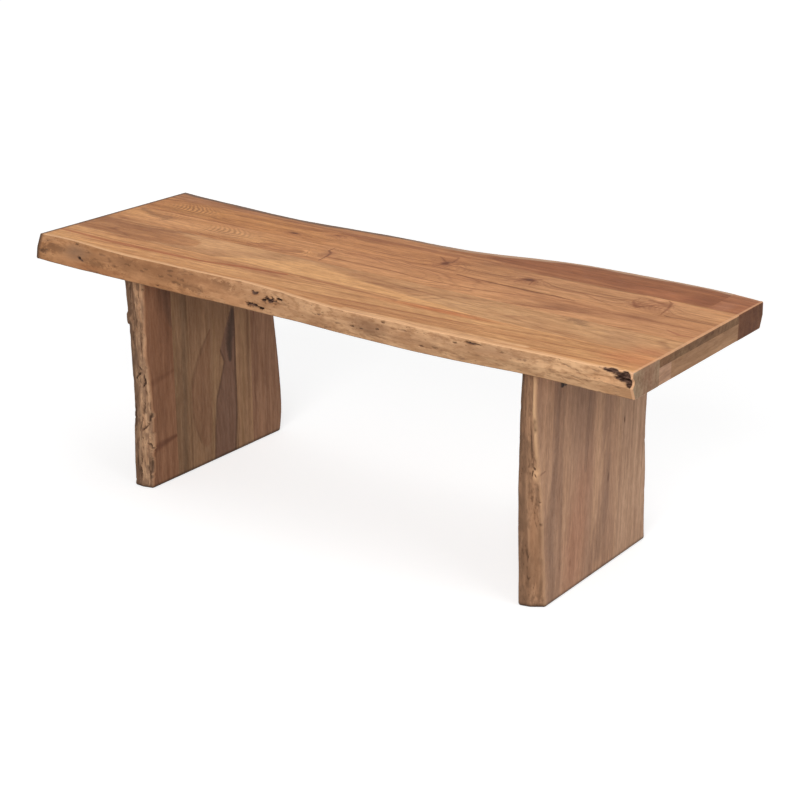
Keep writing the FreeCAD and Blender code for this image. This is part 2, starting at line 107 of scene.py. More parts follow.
class ShaderGraph:
    """Adds nodes to one shader tree and links them as it goes."""

    def __init__(self, tree: bpy.types.NodeTree) -> None:
        """Takes the tree that the nodes go into."""
        self.tree = tree

    def node(self, kind: str, feeds: dict[str | int, Feed] | None = None, **settings) -> bpy.types.Node:
        """Adds a node.

        Args:
            kind: The node's type name.
            feeds: What goes into its sockets, by name or place: a value or another node's socket.
            settings: The node's own properties.

        Returns:
            The new node.
        """
        made = self.tree.nodes.new(kind)
        for name, setting in settings.items():
            setattr(made, name, setting)
        for key, feed in (feeds or {}).items():
            self.feed(made.inputs[key], feed)
        return made

    def feed(self, socket: bpy.types.NodeSocket, feed: Feed) -> None:
        """Sets a socket's value, or links it where another socket is given."""
        if isinstance(feed, bpy.types.NodeSocket):
            self.tree.links.new(feed, socket)
        else:
            socket.default_value = feed

    def math(self, operation: str, *feeds: Feed) -> bpy.types.NodeSocket:
        """One step of arithmetic on numbers."""
        return self.node("ShaderNodeMath", dict(enumerate(feeds)), operation=operation).outputs[0]

    def vector(self, operation: str, *feeds: Feed) -> bpy.types.NodeSocket:
        """One step of arithmetic on vectors; a length or a product comes out as a number."""
        made = self.node("ShaderNodeVectorMath", dict(enumerate(feeds)), operation=operation)
        return made.outputs["Value" if operation in ("LENGTH", "DOT_PRODUCT") else "Vector"]

    def scaled(self, vector: Feed, amount: Feed) -> bpy.types.NodeSocket:
        """A vector times a number."""
        made = self.node("ShaderNodeVectorMath", {0: vector, "Scale": amount}, operation="SCALE")
        return made.outputs["Vector"]

    def noise(self, vector: Feed, stretch: Triple, detail: float = 2.0,
              roughness: float = 0.5) -> bpy.types.NodeSocket:
        """Noise in space, from 0 to 1 about one half, with so many waves to the metre each way."""
        feeds = {"Vector": self.vector("MULTIPLY", vector, stretch), "Scale": 1.0, "Detail": detail,
                 "Roughness": roughness}
        return self.node("ShaderNodeTexNoise", feeds).outputs[0]

    def band_noise(self, position: Feed, detail: float, roughness: float = 0.5) -> bpy.types.NodeSocket:
        """Noise along one number, from 0 to 1 about one half."""
        feeds = {"W": position, "Scale": 1.0, "Detail": detail, "Roughness": roughness}
        return self.node("ShaderNodeTexNoise", feeds, noise_dimensions="1D").outputs[0]

    def ease(self, value: Feed, start: Feed, end: Feed, low: Feed = 0.0,
             high: Feed = 1.0) -> bpy.types.NodeSocket:
        """A smooth step from low at start to high at end."""
        feeds = {"Value": value, "From Min": start, "From Max": end, "To Min": low, "To Max": high}
        return self.node("ShaderNodeMapRange", feeds, interpolation_type="SMOOTHSTEP").outputs[0]

    def mix(self, factor: Feed, below: Feed, above: Feed, lay: Lay = Lay.OVER) -> bpy.types.NodeSocket:
        """One colour laid on another."""
        feeds = {0: factor, 6: below, 7: above}
        return self.node("ShaderNodeMix", feeds, data_type="RGBA", blend_type=lay.value).outputs[2]

    def split(self, vector: Feed) -> bpy.types.NodeOutputs:
        """The three numbers of a vector."""
        return self.node("ShaderNodeSeparateXYZ", {0: vector}).outputs

    def join(self, x: Feed, y: Feed, z: Feed) -> bpy.types.NodeSocket:
        """A vector from three numbers."""
        return self.node("ShaderNodeCombineXYZ", {0: x, 1: y, 2: z}).outputs[0]

    def attribute(self, name: str) -> bpy.types.NodeSocket:
        """A number that the piece's own points carry."""
        return self.node("ShaderNodeAttribute", attribute_name=name).outputs["Fac"]

    def group(self, tree: bpy.types.NodeTree, feeds: dict[str, Feed]) -> bpy.types.NodeOutputs:
        """Places a shared effect and returns its outputs."""
        return self.node("ShaderNodeGroup", feeds, node_tree=tree).outputs


class SharedEffect:
    """A shader node group under construction, with named sockets."""

    def __init__(self, name: str, vectors: tuple[str, ...], numbers: tuple[str, ...],
                 outputs: tuple[str, ...]) -> None:
        """Starts the group.

        Args:
            name: The group's name.
            vectors, numbers: The names of its inputs.
            outputs: The names of its outputs, all numbers.
        """
        self.tree = bpy.data.node_groups.new(name, "ShaderNodeTree")
        for socket in vectors:
            self.tree.interface.new_socket(name=socket, in_out="INPUT", socket_type="NodeSocketVector")
        for socket in numbers:
            self.tree.interface.new_socket(name=socket, in_out="INPUT", socket_type="NodeSocketFloat")
        for socket in outputs:
            self.tree.interface.new_socket(name=socket, in_out="OUTPUT", socket_type="NodeSocketFloat")
        self.graph = ShaderGraph(self.tree)
        self.given = self.graph.node("NodeGroupInput").outputs
        self.leave = self.graph.node("NodeGroupOutput").inputs

    def put_out(self, **outputs: bpy.types.NodeSocket) -> bpy.types.NodeTree:
        """Links the outputs and returns the finished group."""
        for name, socket in outputs.items():
            self.tree.links.new(socket, self.leave[name])
        return self.tree

    def seeded(self) -> bpy.types.NodeSocket:
        """The board's coordinates, moved by its seed so that no two boards look alike."""
        seed = self.given["Seed"]
        return self.graph.vector("ADD", self.given["Grain"], self.graph.join(seed, seed, seed))


def growth_rings() -> bpy.types.NodeTree:
    """The tree's year rings about a pith that leans along the board.

    Returns:
        A group that puts out single rings and thin dark lines.
    """
    effect = SharedEffect("growth_rings", ("Grain", "Pith", "Lean"), ("Spacing", "Wander", "Lift", "Seed"),
                          ("Ring", "Line"))
    graph, given = effect.graph, effect.given
    pith = graph.vector("ADD", given["Pith"], graph.scaled(given["Lean"], graph.split(given["Grain"])[0]))
    across = graph.vector("MULTIPLY", graph.vector("SUBTRACT", given["Grain"], pith), (0, 1, 1))
    slow = graph.noise(effect.seeded(), (2.2, 8, 8), 2)
    quick = graph.noise(effect.seeded(), (11, 60, 60), 2)
    stray = graph.math("SUBTRACT", graph.math("MULTIPLY_ADD", quick, 0.1, slow), 0.55)
    radius = graph.math("MULTIPLY_ADD", stray, given["Wander"], graph.vector("LENGTH", across))
    radius = graph.math("ADD", radius, given["Lift"])
    turns = graph.math("ADD", graph.math("DIVIDE", radius, given["Spacing"]), given["Seed"])
    turns = graph.math("MULTIPLY_ADD", graph.band_noise(graph.math("MULTIPLY", turns, 0.2), 1), 5.0, turns)
    line = graph.band_noise(graph.math("MULTIPLY_ADD", turns, 1.1, 31.7), 1.5)
    near = graph.math("ABSOLUTE", graph.math("SUBTRACT", line, 0.5))
    return effect.put_out(
        Ring=graph.ease(graph.band_noise(turns, 2, 0.5), 0.3, 0.72),
        Line=graph.ease(near, 0.06, 0.0),
    )


def wood_fibre() -> bpy.types.NodeTree:
    """The wood's fibres: wide soft bands, clouds, streaks, flecks, fine fibres and dashes of open pores."""
    effect = SharedEffect(
        "wood_fibre", ("Grain",), ("Seed",), ("Band", "Cloud", "Streak", "Fleck", "Fibre", "Pore"))
    graph = effect.graph
    return effect.put_out(
        Band=graph.noise(effect.seeded(), (1.8, 26, 26), 3, 0.55),
        Cloud=graph.noise(effect.seeded(), (6, 28, 28), 3, 0.55),
        Streak=graph.ease(graph.noise(effect.seeded(), (7, 95, 95), 4, 0.62), 0.3, 0.7),
        Fleck=graph.ease(graph.noise(effect.seeded(), (36, 190, 190), 4, 0.7), 0.32, 0.68),
        Fibre=graph.noise(effect.seeded(), (22, 800, 800), 2),
        Pore=graph.ease(graph.noise(effect.seeded(), (42, 620, 620), 1.5), 0.6, 0.7),
    )


def patch_shape() -> bpy.types.NodeTree:
    """A soft-edged patch on a board: a diamond, ellipse or block by its power, frayed by noise.

    Returns:
        A group that puts out how far a point is from the middle, where 1 is the rim, and the patch's mask.
    """
    effect = SharedEffect("patch_shape", ("Grain", "Centre", "Reach"), ("Turn", "Power", "Soft", "Frayed"),
                          ("Distance", "Mask"))
    graph, given = effect.graph, effect.given
    offset = graph.vector("SUBTRACT", given["Grain"], given["Centre"])
    turned = graph.node("ShaderNodeVectorRotate", {"Vector": offset, "Angle": given["Turn"]},
                        rotation_type="Z_AXIS", invert=True)
    share = graph.split(graph.vector("ABSOLUTE", graph.vector("DIVIDE", turned.outputs[0], given["Reach"])))
    along, across = (graph.math("POWER", share[axis], given["Power"]) for axis in (0, 1))
    total = graph.math("ADD", along, across)
    distance = graph.math("POWER", total, graph.math("DIVIDE", 1.0, given["Power"]))
    frayed = graph.math("ADD", distance, given["Frayed"])
    rim_in = graph.math("SUBTRACT", 1.0, given["Soft"])
    rim_out = graph.math("ADD", 1.0, given["Soft"])
    return effect.put_out(Distance=frayed, Mask=graph.ease(frayed, rim_in, rim_out, 1.0, 0.0))


def stroke_shape() -> bpy.types.NodeTree:
    """One straight stretch of a drawn mark, which widens or narrows along its run.

    Returns:
        A group that puts out how far a point is from the stretch's middle line, where 1 is its side.
    """
    effect = SharedEffect("stroke_shape", ("Grain", "Start", "Run"),
                          ("Share", "Width", "Growth", "Frayed", "Bent"), ("Distance",))
    graph, given = effect.graph, effect.given
    bent = graph.join(0.0, given["Bent"], 0.0)
    offset = graph.vector("ADD", graph.vector("SUBTRACT", given["Grain"], given["Start"]), bent)
    flat = graph.vector("MULTIPLY", offset, (1, 1, 0))
    share = graph.math("MULTIPLY", graph.vector("DOT_PRODUCT", flat, given["Run"]), given["Share"])
    share = graph.math("MINIMUM", graph.math("MAXIMUM", share, 0.0), 1.0)
    near = graph.vector("LENGTH", graph.vector("SUBTRACT", flat, graph.scaled(given["Run"], share)))
    width = graph.math("MULTIPLY_ADD", share, given["Growth"], given["Width"])
    return effect.put_out(Distance=graph.math("ADD", graph.math("DIVIDE", near, width), given["Frayed"]))


def ripple_waves() -> bpy.types.NodeTree:
    """Bowed waves across the grain, as light shows them where the fibres sway."""
    effect = SharedEffect("ripple_waves", ("Grain", "Centre"), ("Pitch", "Bow", "Bent"), ("Wave",))
    graph, given = effect.graph, effect.given
    place = graph.split(graph.vector("SUBTRACT", given["Grain"], given["Centre"]))
    bowed = graph.math("MULTIPLY_ADD", graph.math("MULTIPLY", place[1], place[1]), given["Bow"], place[0])
    turns = graph.math("DIVIDE", graph.math("MULTIPLY_ADD", given["Bent"], 0.03, bowed), given["Pitch"])
    wave = graph.math("SINE", graph.math("MULTIPLY", turns, math.tau))
    return effect.put_out(Wave=graph.ease(wave, -0.7, 0.9))


@dataclass(frozen=True)
class Patch:
    """A place on a board, along and across its grain.

    A power of 1 gives a diamond, 2 an ellipse and more a block; fray roughens its rim, in small tatters if
    torn.
    """

    at: Pair
    reach: Pair
    _: KW_ONLY
    turn: float = 0.0
    power: float = 2.0
    soft: float = 0.5
    fray: float = 0.8
    torn: bool = False


@dataclass(frozen=True)
class Stain(Patch):
    """A patch of another colour."""

    colour: Colour
    amount: float
    _: KW_ONLY
    lay: Lay = Lay.OVER


@dataclass(frozen=True)
class Knot(Patch):
    """A place that the rings flow round."""

    lift: float


@dataclass(frozen=True)
class Ripple(Patch):
    """A patch of wavy figure, with its waves' pitch along the grain and how much they bow across it."""

    amount: float
    _: KW_ONLY
    pitch: float = 0.009
    bow: float = 14.0


@dataclass(frozen=True)
class Trail:
    """A mark drawn on a board in one line or more, from point to point.

    Each point is its place along and across the grain and half the mark's width there.
    """

    colour: Colour
    amount: float
    lines: tuple[tuple[Triple, ...], ...]
    _: KW_ONLY
    soft: float = 0.9
    fray: float = 0.8
    bend: float = 0.004
    lay: Lay = Lay.OVER


def tint(at: Pair, reach: Pair, share: Triple, power: float = 3.0, soft: float = 0.6, **rim: float) -> Stain:
    """A patch worked into the wood.

    Args:
        at, reach, power, soft, rim: Its shape.
        share: How much of the wood's red, green and blue it leaves.

    Returns:
        The patch.
    """
    return Stain(at, reach, (*share, 1.0), 1.0, power=power, soft=soft, lay=Lay.INTO, **rim)


def drawn(colour: Colour, amount: float, *lines: tuple[Triple, ...], **sides: float | Lay) -> Trail:
    """A drawn mark from its lines, with the settings of its sides by name."""
    return Trail(colour, amount, lines, **sides)


@dataclass(frozen=True)
class Palette:
    """The colours of a board's figure, from its palest wood to its darkest lines."""

    pale: Colour
    middle: Colour
    deep: Colour
    line: Colour


HONEY = Palette(screen(218, 163, 109), screen(200, 144, 94), screen(173, 112, 69), screen(122, 62, 34))
WHEAT = Palette(screen(207, 158, 110), screen(191, 141, 96), screen(165, 110, 70), screen(116, 60, 36))
TAWNY = Palette(screen(210, 153, 104), screen(192, 135, 90), screen(165, 105, 66), screen(116, 60, 34))
AMBER = Palette(screen(208, 148, 98), screen(188, 129, 83), screen(160, 102, 62), screen(112, 58, 34))
CHESTNUT = Palette(screen(190, 134, 90), screen(172, 116, 75), screen(148, 93, 57), screen(102, 52, 30))
RUSSET = Palette(screen(182, 120, 80), screen(164, 104, 68), screen(136, 82, 53), screen(94, 50, 32))
UMBER = Palette(screen(204, 162, 131), screen(182, 143, 117), screen(152, 116, 95), screen(110, 81, 67))
CLOVE = Palette(screen(164, 120, 92), screen(146, 105, 80), screen(122, 86, 66), screen(90, 60, 47))
ROSE = Palette(screen(182, 140, 112), screen(163, 123, 97), screen(137, 100, 79), screen(100, 70, 55))
DRAB = Palette(screen(169, 134, 103), screen(149, 117, 90), screen(123, 95, 72), screen(90, 68, 52))
HAZEL = Palette(screen(174, 138, 107), screen(155, 121, 93), screen(129, 98, 76), screen(94, 69, 54))
STRAW = Palette(screen(188, 147, 111), screen(169, 130, 97), screen(142, 105, 78), screen(104, 74, 56))
SAND = Palette(screen(193, 153, 119), screen(174, 136, 105), screen(147, 111, 85), screen(108, 79, 62))
SHELL = Palette(screen(209, 170, 140), screen(191, 152, 124), screen(164, 126, 102), screen(122, 90, 74))

RED_LINE = screen(134, 72, 42)
DARK_LINE = screen(96, 54, 34)
GOLD = screen(226, 171, 115)


@dataclass(frozen=True)
class PaintedEndLight:
    """Painted shade or a painted highlight along a board's end: its colour, how wide it is and how strong."""

    colour: Colour
    width: float
    amount: float


@dataclass(frozen=True)
class Wear:
    """Noise that roughens a board's marks: soft frayed rims, small tatters and the sway of a line."""

    frayed: bpy.types.NodeSocket
    torn: bpy.types.NodeSocket
    bent: bpy.types.NodeSocket


@dataclass(frozen=True, kw_only=True)
class Timber:
    """One board's wood.

    The pith is the tree's middle, as a place across and through the board, and it leans by so much for each
    metre along the grain. Spacing is the rings' distance, wander how far they stray; ring, line, cloud,
    streak and fleck say how strong each shows, fine how much smaller than usual its fibres are. End tints the
    end grain, and rims lay painted shade or a painted highlight along its two ends. The colours of a live
    edge are sap, rind, smudge, bark and hollow: sap is the sapwood's colour, but a
    dark painted shade along the seat's back arris; hollow also colours the painted shade along the lower
    arris and, with bark, the dark in the creases, holes and bark pocket. far_sap is the sap
    colour on the plank's far half, and edge_stains its patches, along and through the plank;
    furrow says how strongly painted shade darkens the furrows between its ridges and a painted
    highlight lightens their crests, strand how stringy it is, brow how strong the painted highlight along its
    upper arris is and shade how strong the painted shade along its lower one.
    """

    grain: Grain
    palette: Palette
    pith: Pair
    lean: Pair = (0.0, 0.0)
    spacing: float = 0.010
    wander: float = 0.03
    seed: float = 0.0
    ring: float = 0.55
    line: float = 0.3
    cloud: float = 0.5
    streak: float = 1.0
    fleck: float = 1.0
    fine: float = 1.0
    end: Triple = (0.75, 0.75, 0.75)
    # Painted shade or painted highlights along the board's ends.
    rims: tuple[PaintedEndLight, ...] = ()
    rim_at: float = 0.6068
    stains: tuple[Stain, ...] = ()
    knots: tuple[Knot, ...] = ()
    ripples: tuple[Ripple, ...] = ()
    trails: tuple[Trail, ...] = ()
    # The sapwood's colour; on the seat's back plank a dark colour that paints shade along its back arris.
    sap: Colour | None = None
    far_sap: Colour | None = None
    sap_depth: float = 0.02
    sap_amount: float = 0.5
    rind: Colour = screen(196, 148, 106)
    smudge: Colour = screen(146, 102, 70)
    bark: Colour = screen(120, 88, 66)
    # Also the colour of the painted shade along the lower arris and in the hollows.
    hollow: Colour = screen(48, 31, 24)
    edge_stains: tuple[Stain, ...] = ()
    # Painted shade in the live edge's furrows and a painted highlight on its ridges.
    furrow: float = 0.3
    strand: float = 0.4
    # Painted light along the live edge's arrises: brow sets a painted highlight along the upper arris, shade
    # sets painted shade along the lower one.
    brow: float = 2.4
    shade: float = 2.4


@dataclass
class WoodShop:
    """Mixes a finish for each board from the shared effects."""

    rings: bpy.types.NodeTree = field(default_factory=growth_rings)
    fibre: bpy.types.NodeTree = field(default_factory=wood_fibre)
    patch: bpy.types.NodeTree = field(default_factory=patch_shape)
    stroke: bpy.types.NodeTree = field(default_factory=stroke_shape)
    ripple: bpy.types.NodeTree = field(default_factory=ripple_waves)
    sheen: float = 0.07
    bump: float = 0.25
    bump_height: float = 0.0006
    roughness: float = 0.40
    fibre_rough: float = 0.2
    fibre_height: float = 0.6
    pore_dark: float = 0.25
    knot_fall: float = -1.6
    end_facing: Pair = (0.75, 0.95)
    far_half: Pair = (-0.1, 0.15)
    rind_cover: float = 0.85
    rind_rough: float = 0.16
    streak_shades: tuple[Colour, Colour] = ((0.86, 0.82, 0.78, 1.0), (1.08, 1.08, 1.08, 1.0))
    fleck_shades: tuple[Colour, Colour] = ((0.86, 0.83, 0.80, 1.0), (1.10, 1.10, 1.10, 1.0))
    strand_shades: tuple[Colour, Colour] = ((0.70, 0.66, 0.63, 1.0), (1.14, 1.14, 1.14, 1.0))

    def finish(self, name: str, timber: Timber, live: bool = False) -> bpy.types.Material:
        """Makes a board's material.

        Args:
            name: The material's name.
            timber: The board's wood.
            live: Whether the piece carries the live edge's numbers.

        Returns:
            The material.
        """
        material = bpy.data.materials.new(name)
        material.use_nodes = True
        graph = ShaderGraph(material.node_tree)
        shader = material.node_tree.nodes["Principled BSDF"]
        shader.inputs["Specular IOR Level"].default_value = self.sheen
        places = graph.node("ShaderNodeTexCoord").outputs
        along, across, thick = timber.grain.value
        space, facing = graph.split(places["Object"]), graph.split(places["Normal"])
        grain = graph.join(space[along], space[across], space[thick])
        seeded = graph.vector("ADD", grain, (timber.seed,) * 3)
        wear = self.wear(graph, seeded)
        fibre = graph.group(self.fibre, {"Grain": graph.scaled(grain, timber.fine), "Seed": timber.seed})
        rings = graph.group(self.rings, {
            "Grain": grain, "Pith": (0.0, *timber.pith), "Lean": (0.0, *timber.lean), "Seed": timber.seed,
            "Spacing": timber.spacing, "Wander": timber.wander, "Lift": self.lift(graph, timber, grain, wear),
        })
        colour = self.figure(graph, timber, rings, fibre)
        colour = self.marks(graph, timber, grain, wear, colour)
        shade = graph.mix(fibre["Streak"], *self.streak_shades)
        colour = graph.mix(timber.streak, colour, shade, Lay.INTO)
        shade = graph.mix(fibre["Fleck"], *self.fleck_shades)
        colour = graph.mix(timber.fleck, colour, shade, Lay.INTO)
        colour = graph.mix(graph.math("MULTIPLY", fibre["Pore"], self.pore_dark), colour, timber.palette.line)
        height = graph.math("MULTIPLY", fibre["Fibre"], self.fibre_height)
        height = graph.math("MULTIPLY_ADD", fibre["Pore"], -1.0, height)
        rough = graph.math("MULTIPLY_ADD", fibre["Fibre"], self.fibre_rough, self.roughness)
        if live:
            edge = graph.join(space[along], space[thick], 0.0)
            colour, rough, height = self.live_edge(graph, timber, seeded, edge, wear, facing[thick], colour,
                                                   rough, height)
        end = graph.ease(graph.math("ABSOLUTE", facing[along]), *self.end_facing)
        if live:
            end = graph.math("MULTIPLY", end, graph.math("SUBTRACT", 1.0, graph.attribute("live")))
        # Painted light near each end, kept off the end grain: painted shade or a painted highlight from each
        # rim.
        for side, rim in zip((-1, 1), timber.rims):
            inner = side * (timber.rim_at - rim.width)
            near = graph.ease(space[along], inner, side * timber.rim_at, 0.0, rim.amount)
            near = graph.math("MULTIPLY", near, graph.math("SUBTRACT", 1.0, end))
            colour = graph.mix(near, colour, rim.colour)
        colour = graph.mix(end, colour, (*timber.end, 1.0), Lay.INTO)
        feeds = {"Strength": self.bump, "Distance": self.bump_height, "Height": height}
        bump = graph.node("ShaderNodeBump", feeds)
        for socket, feed in (("Base Color", colour), ("Roughness", rough), ("Normal", bump.outputs[0])):
            graph.feed(shader.inputs[socket], feed)
        return material

    def wear(self, graph: ShaderGraph, seeded: Feed) -> Wear:
        """The noise that roughens a board's marks.

        Args:
            graph: The material's graph.
            seeded: The board's own coordinates, shifted by its seed.

        Returns:
            The noise, about zero.
        """
        kinds = (((30, 100, 100), 4, 0.62), ((130, 150, 150), 4, 0.68), ((14, 14, 14), 2, 0.5))
        return Wear(*(graph.math("SUBTRACT", graph.noise(seeded, *kind), 0.5) for kind in kinds))

    def place(self, graph: ShaderGraph, patch: Patch, grain: Feed, wear: Wear) -> bpy.types.NodeOutputs:
        """Adds a patch's shape to a material.

        Args:
            graph: The material's graph.
            patch: Where the patch is and how its rim runs.
            grain: The board's own coordinates.
            wear: Noise that roughens the rim.

        Returns:
            The patch's distance and mask.
        """
        rough = wear.torn if patch.torn else wear.frayed
        return graph.group(self.patch, {
            "Grain": grain, "Centre": (*patch.at, 0.0), "Reach": (*patch.reach, 1.0),
            "Turn": math.radians(patch.turn), "Power": patch.power, "Soft": patch.soft,
            "Frayed": graph.math("MULTIPLY", rough, patch.fray),
        })

    def draw(self, graph: ShaderGraph, trail: Trail, grain: Feed, wear: Wear) -> Feed:
        """Adds a drawn mark's mask to a material.

        Args:
            graph: The material's graph.
            trail: The mark.
            grain: The board's own coordinates.
            wear: Noise that roughens the mark's sides and sways its line.

        Returns:
            The mask.
        """
        nearest: Feed | None = None
        rough = graph.math("MULTIPLY", wear.torn, trail.fray)
        sway = graph.math("MULTIPLY", wear.bent, trail.bend)
        for start, end in (pair for line in trail.lines for pair in zip(line, line[1:])):
            run = (end[0] - start[0], end[1] - start[1], 0.0)
            distance = graph.group(self.stroke, {
                "Grain": grain, "Start": (*start[:2], 0.0), "Run": run,
                "Share": 1 / (run[0] ** 2 + run[1] ** 2), "Width": start[2], "Growth": end[2] - start[2],
                "Frayed": rough, "Bent": sway,
            })["Distance"]
            nearest = distance if nearest is None else graph.math("MINIMUM", nearest, distance)
        return graph.ease(nearest, 1 + trail.soft, 1 - trail.soft)

    def lift(self, graph: ShaderGraph, timber: Timber, grain: Feed, wear: Wear) -> Feed:
        """How far the knots push the rings aside."""
        total: Feed = 0.0
        for knot in timber.knots:
            distance = self.place(graph, knot, grain, wear)["Distance"]
            square = graph.math("MULTIPLY", distance, distance)
            fall = graph.math("EXPONENT", graph.math("MULTIPLY", square, self.knot_fall))
            total = graph.math("MULTIPLY_ADD", fall, knot.lift, total)
        return total

    def figure(self, graph: ShaderGraph, timber: Timber, rings: bpy.types.NodeOutputs,
               fibre: bpy.types.NodeOutputs) -> Feed:
        """The board's colour from its bands, rings, clouds and lines."""
        palette = timber.palette
        broken = graph.ease(fibre["Cloud"], 0.32, 0.66, 0.25, 1.0)
        ring = graph.math("MULTIPLY", rings["Ring"], broken)
        line = graph.math("MULTIPLY", rings["Line"], broken)
        colour = graph.mix(graph.ease(fibre["Band"], 0.34, 0.66), palette.pale, palette.middle)
        colour = graph.mix(graph.math("MULTIPLY", ring, timber.ring), colour, palette.deep)
        colour = graph.mix(graph.ease(fibre["Cloud"], 0.5, 0.8, 0.0, timber.cloud), colour, palette.deep)
        colour = graph.mix(graph.ease(fibre["Cloud"], 0.5, 0.2, 0.0, timber.cloud), colour, palette.pale)
        return graph.mix(graph.math("MULTIPLY", line, timber.line), colour, palette.line)

    def marks(self, graph: ShaderGraph, timber: Timber, grain: Feed, wear: Wear, colour: Feed) -> Feed:
        """Lays the board's stains, ripples and drawn marks on its figure.

        Args:
            graph: The material's graph.
            timber: The board's wood.
            grain: The board's own coordinates.
            wear: Noise that roughens the marks.
            colour: The figure's colour.

        Returns:
            The colour with the marks in it.
        """
        for stain in timber.stains:
            amount = graph.math("MULTIPLY", self.place(graph, stain, grain, wear)["Mask"], stain.amount)
            colour = graph.mix(amount, colour, stain.colour, stain.lay)
        for ripple in timber.ripples:
            wave = graph.group(self.ripple, {
                "Grain": grain, "Centre": (*ripple.at, 0.0), "Pitch": ripple.pitch, "Bow": ripple.bow,
                "Bent": graph.math("MULTIPLY_ADD", wear.frayed, 0.35, wear.bent),
            })["Wave"]
            amount = graph.math("MULTIPLY", self.place(graph, ripple, grain, wear)["Mask"], ripple.amount)
            colour = graph.mix(graph.math("MULTIPLY", amount, wave), colour, timber.palette.line)
        for trail in timber.trails:
            amount = graph.math("MULTIPLY", self.draw(graph, trail, grain, wear), trail.amount)
            colour = graph.mix(amount, colour, trail.colour, trail.lay)
        return colour

    def live_edge(self, graph: ShaderGraph, timber: Timber, seeded: Feed, edge: Feed, wear: Wear, tilt: Feed,
                  colour: Feed, rough: Feed, height: Feed) -> tuple[Feed, Feed, Feed]:
        """Adds the sapwood behind a live edge (painted shade instead on the seat's back plank), the edge's
        own skin with painted light on its ridges and arrises, and its dark hollows, partly painted shade.

        Args:
            graph: The material's graph.
            timber: The board's wood.
            seeded: The board's own coordinates, shifted by its seed.
            edge: The place along and through the plank.
            wear: Noise that roughens the stains' rims.
            tilt: How far the surface faces the plank's upper side, below 0 for its lower side.
            colour, rough, height: The plain board's finish.

        Returns:
            The finish with the live edge in it.
        """
        depth, live, hollow, crest = (graph.attribute(name) for name in LIVE_NUMBERS)
        pale = timber.sap or timber.rind
        # The band behind the live edge in the sap colour: sapwood, and painted shade on the seat's back
        # plank.
        if timber.sap:
            stray = graph.noise(seeded, (9, 30, 30), 3)
            inside = graph.math("DIVIDE", depth, graph.math("MULTIPLY", stray, timber.sap_depth * 2))
            sap: Feed = timber.sap
            if timber.far_sap:
                far = graph.ease(graph.split(edge)[0], *self.far_half)
                sap = graph.mix(far, timber.sap, timber.far_sap)
            colour = graph.mix(graph.ease(inside, 1.25, 0.65, 0.0, timber.sap_amount), colour, sap)
        cloud = graph.noise(seeded, (16, 55, 55), 4, 0.66)
        dapple = graph.noise(seeded, (48, 130, 130), 3, 0.65)
        strand = graph.ease(graph.noise(seeded, (16, 240, 240), 3, 0.6), 0.3, 0.7)
        speck = graph.noise(seeded, (120, 380, 380), 2)
        layer = graph.noise(seeded, (45, 90, 420), 3, 0.6)
        rind = graph.mix(graph.ease(cloud, 0.42, 0.68, 0.0, 0.8), timber.rind, timber.smudge)
        # Painted shade in the furrows between the ridges and a painted highlight on their crests.
        rind = graph.mix(graph.ease(crest, 0.55, 0.1, 0.0, timber.furrow), rind, timber.smudge)
        rind = graph.mix(graph.ease(crest, 0.6, 1.0, 0.0, timber.furrow * 0.6), rind, pale)
        rind = graph.mix(graph.ease(dapple, 0.46, 0.62, 0.0, 0.75), rind, timber.smudge)
        rind = graph.mix(graph.ease(dapple, 0.60, 0.76, 0.0, 0.6), rind, timber.bark)
        rind = graph.mix(graph.ease(speck, 0.63, 0.73, 0.0, 0.6), rind, timber.hollow)
        shade = graph.mix(strand, *self.strand_shades)
        rind = graph.mix(timber.strand, rind, shade, Lay.INTO)
        for stain in timber.edge_stains:
            amount = graph.math("MULTIPLY", self.place(graph, stain, edge, wear)["Mask"], stain.amount)
            rind = graph.mix(amount, rind, stain.colour, stain.lay)
        colour = graph.mix(graph.math("MULTIPLY", live, self.rind_cover), colour, rind)
        # Painted light along the arrises: a painted highlight along the upper arris and painted shade along
        # the lower one, strongest mid-way round each arris.
        turn = graph.math("MULTIPLY", live, graph.math("SUBTRACT", 1.0, live))
        upper = graph.ease(tilt, 0.05, 0.5, 0.0, timber.brow)
        lower = graph.ease(tilt, -0.05, -0.5, 0.0, timber.shade)
        colour = graph.mix(graph.math("MULTIPLY", turn, upper), colour, pale)
        colour = graph.mix(graph.math("MULTIPLY", turn, lower), colour, timber.hollow)
        # The hollows go towards the hollow and bark colours: the bark's own layers in the bark pocket,
        # painted shade in the creases, holes and pits.
        bark = graph.mix(graph.ease(layer, 0.44, 0.60), timber.hollow, timber.bark)
        colour = graph.mix(graph.ease(hollow, 0.08, 0.8), colour, bark)
        rough = graph.math("MULTIPLY_ADD", live, self.rind_rough, rough)
        height = graph.math("SUBTRACT", height, graph.ease(speck, 0.62, 0.78, 0.0, 1.5))
        return colour, rough, height


@dataclass(frozen=True)
class Scar:
    """A hollow on a live edge, or a swelling where its depth is negative.

    The place is along the plank and up through its thickness.
    """

    at: Pair
    reach: Pair
    depth: float
    _: KW_ONLY
    turn: float = 0.0
    fray: float = 0.5
    dark: float = 1.0


def scars(rows: tuple[tuple[float, ...], ...], depth: float, **kind: float) -> tuple[Scar, ...]:
    """Scars of one kind.

    Args:
        rows: Each scar's place in metres, its reaches in millimetres and, where it is turned, its turn.
        depth, kind: What the scars have in common.

    Returns:
        The scars.
    """
    return tuple(Scar((along, level), (run / MILLIMETRES, rise / MILLIMETRES), depth, turn=sum(turn), **kind)
                 for along, level, run, rise, *turn in rows)


@dataclass(frozen=True, kw_only=True)
class Relief:
    """How rough a live edge is: long swells, ridges along the grain, creases between them and fine grit."""

    swell: float = 0.0012
    ridge: float = 0.0005
    crease: float = 0.0008
    # How strongly painted shade darkens the creases.
    painted_crease_shade: float = 0.4
    length: float = 0.07
    width: float = 0.009
    grit: float = 0.0002


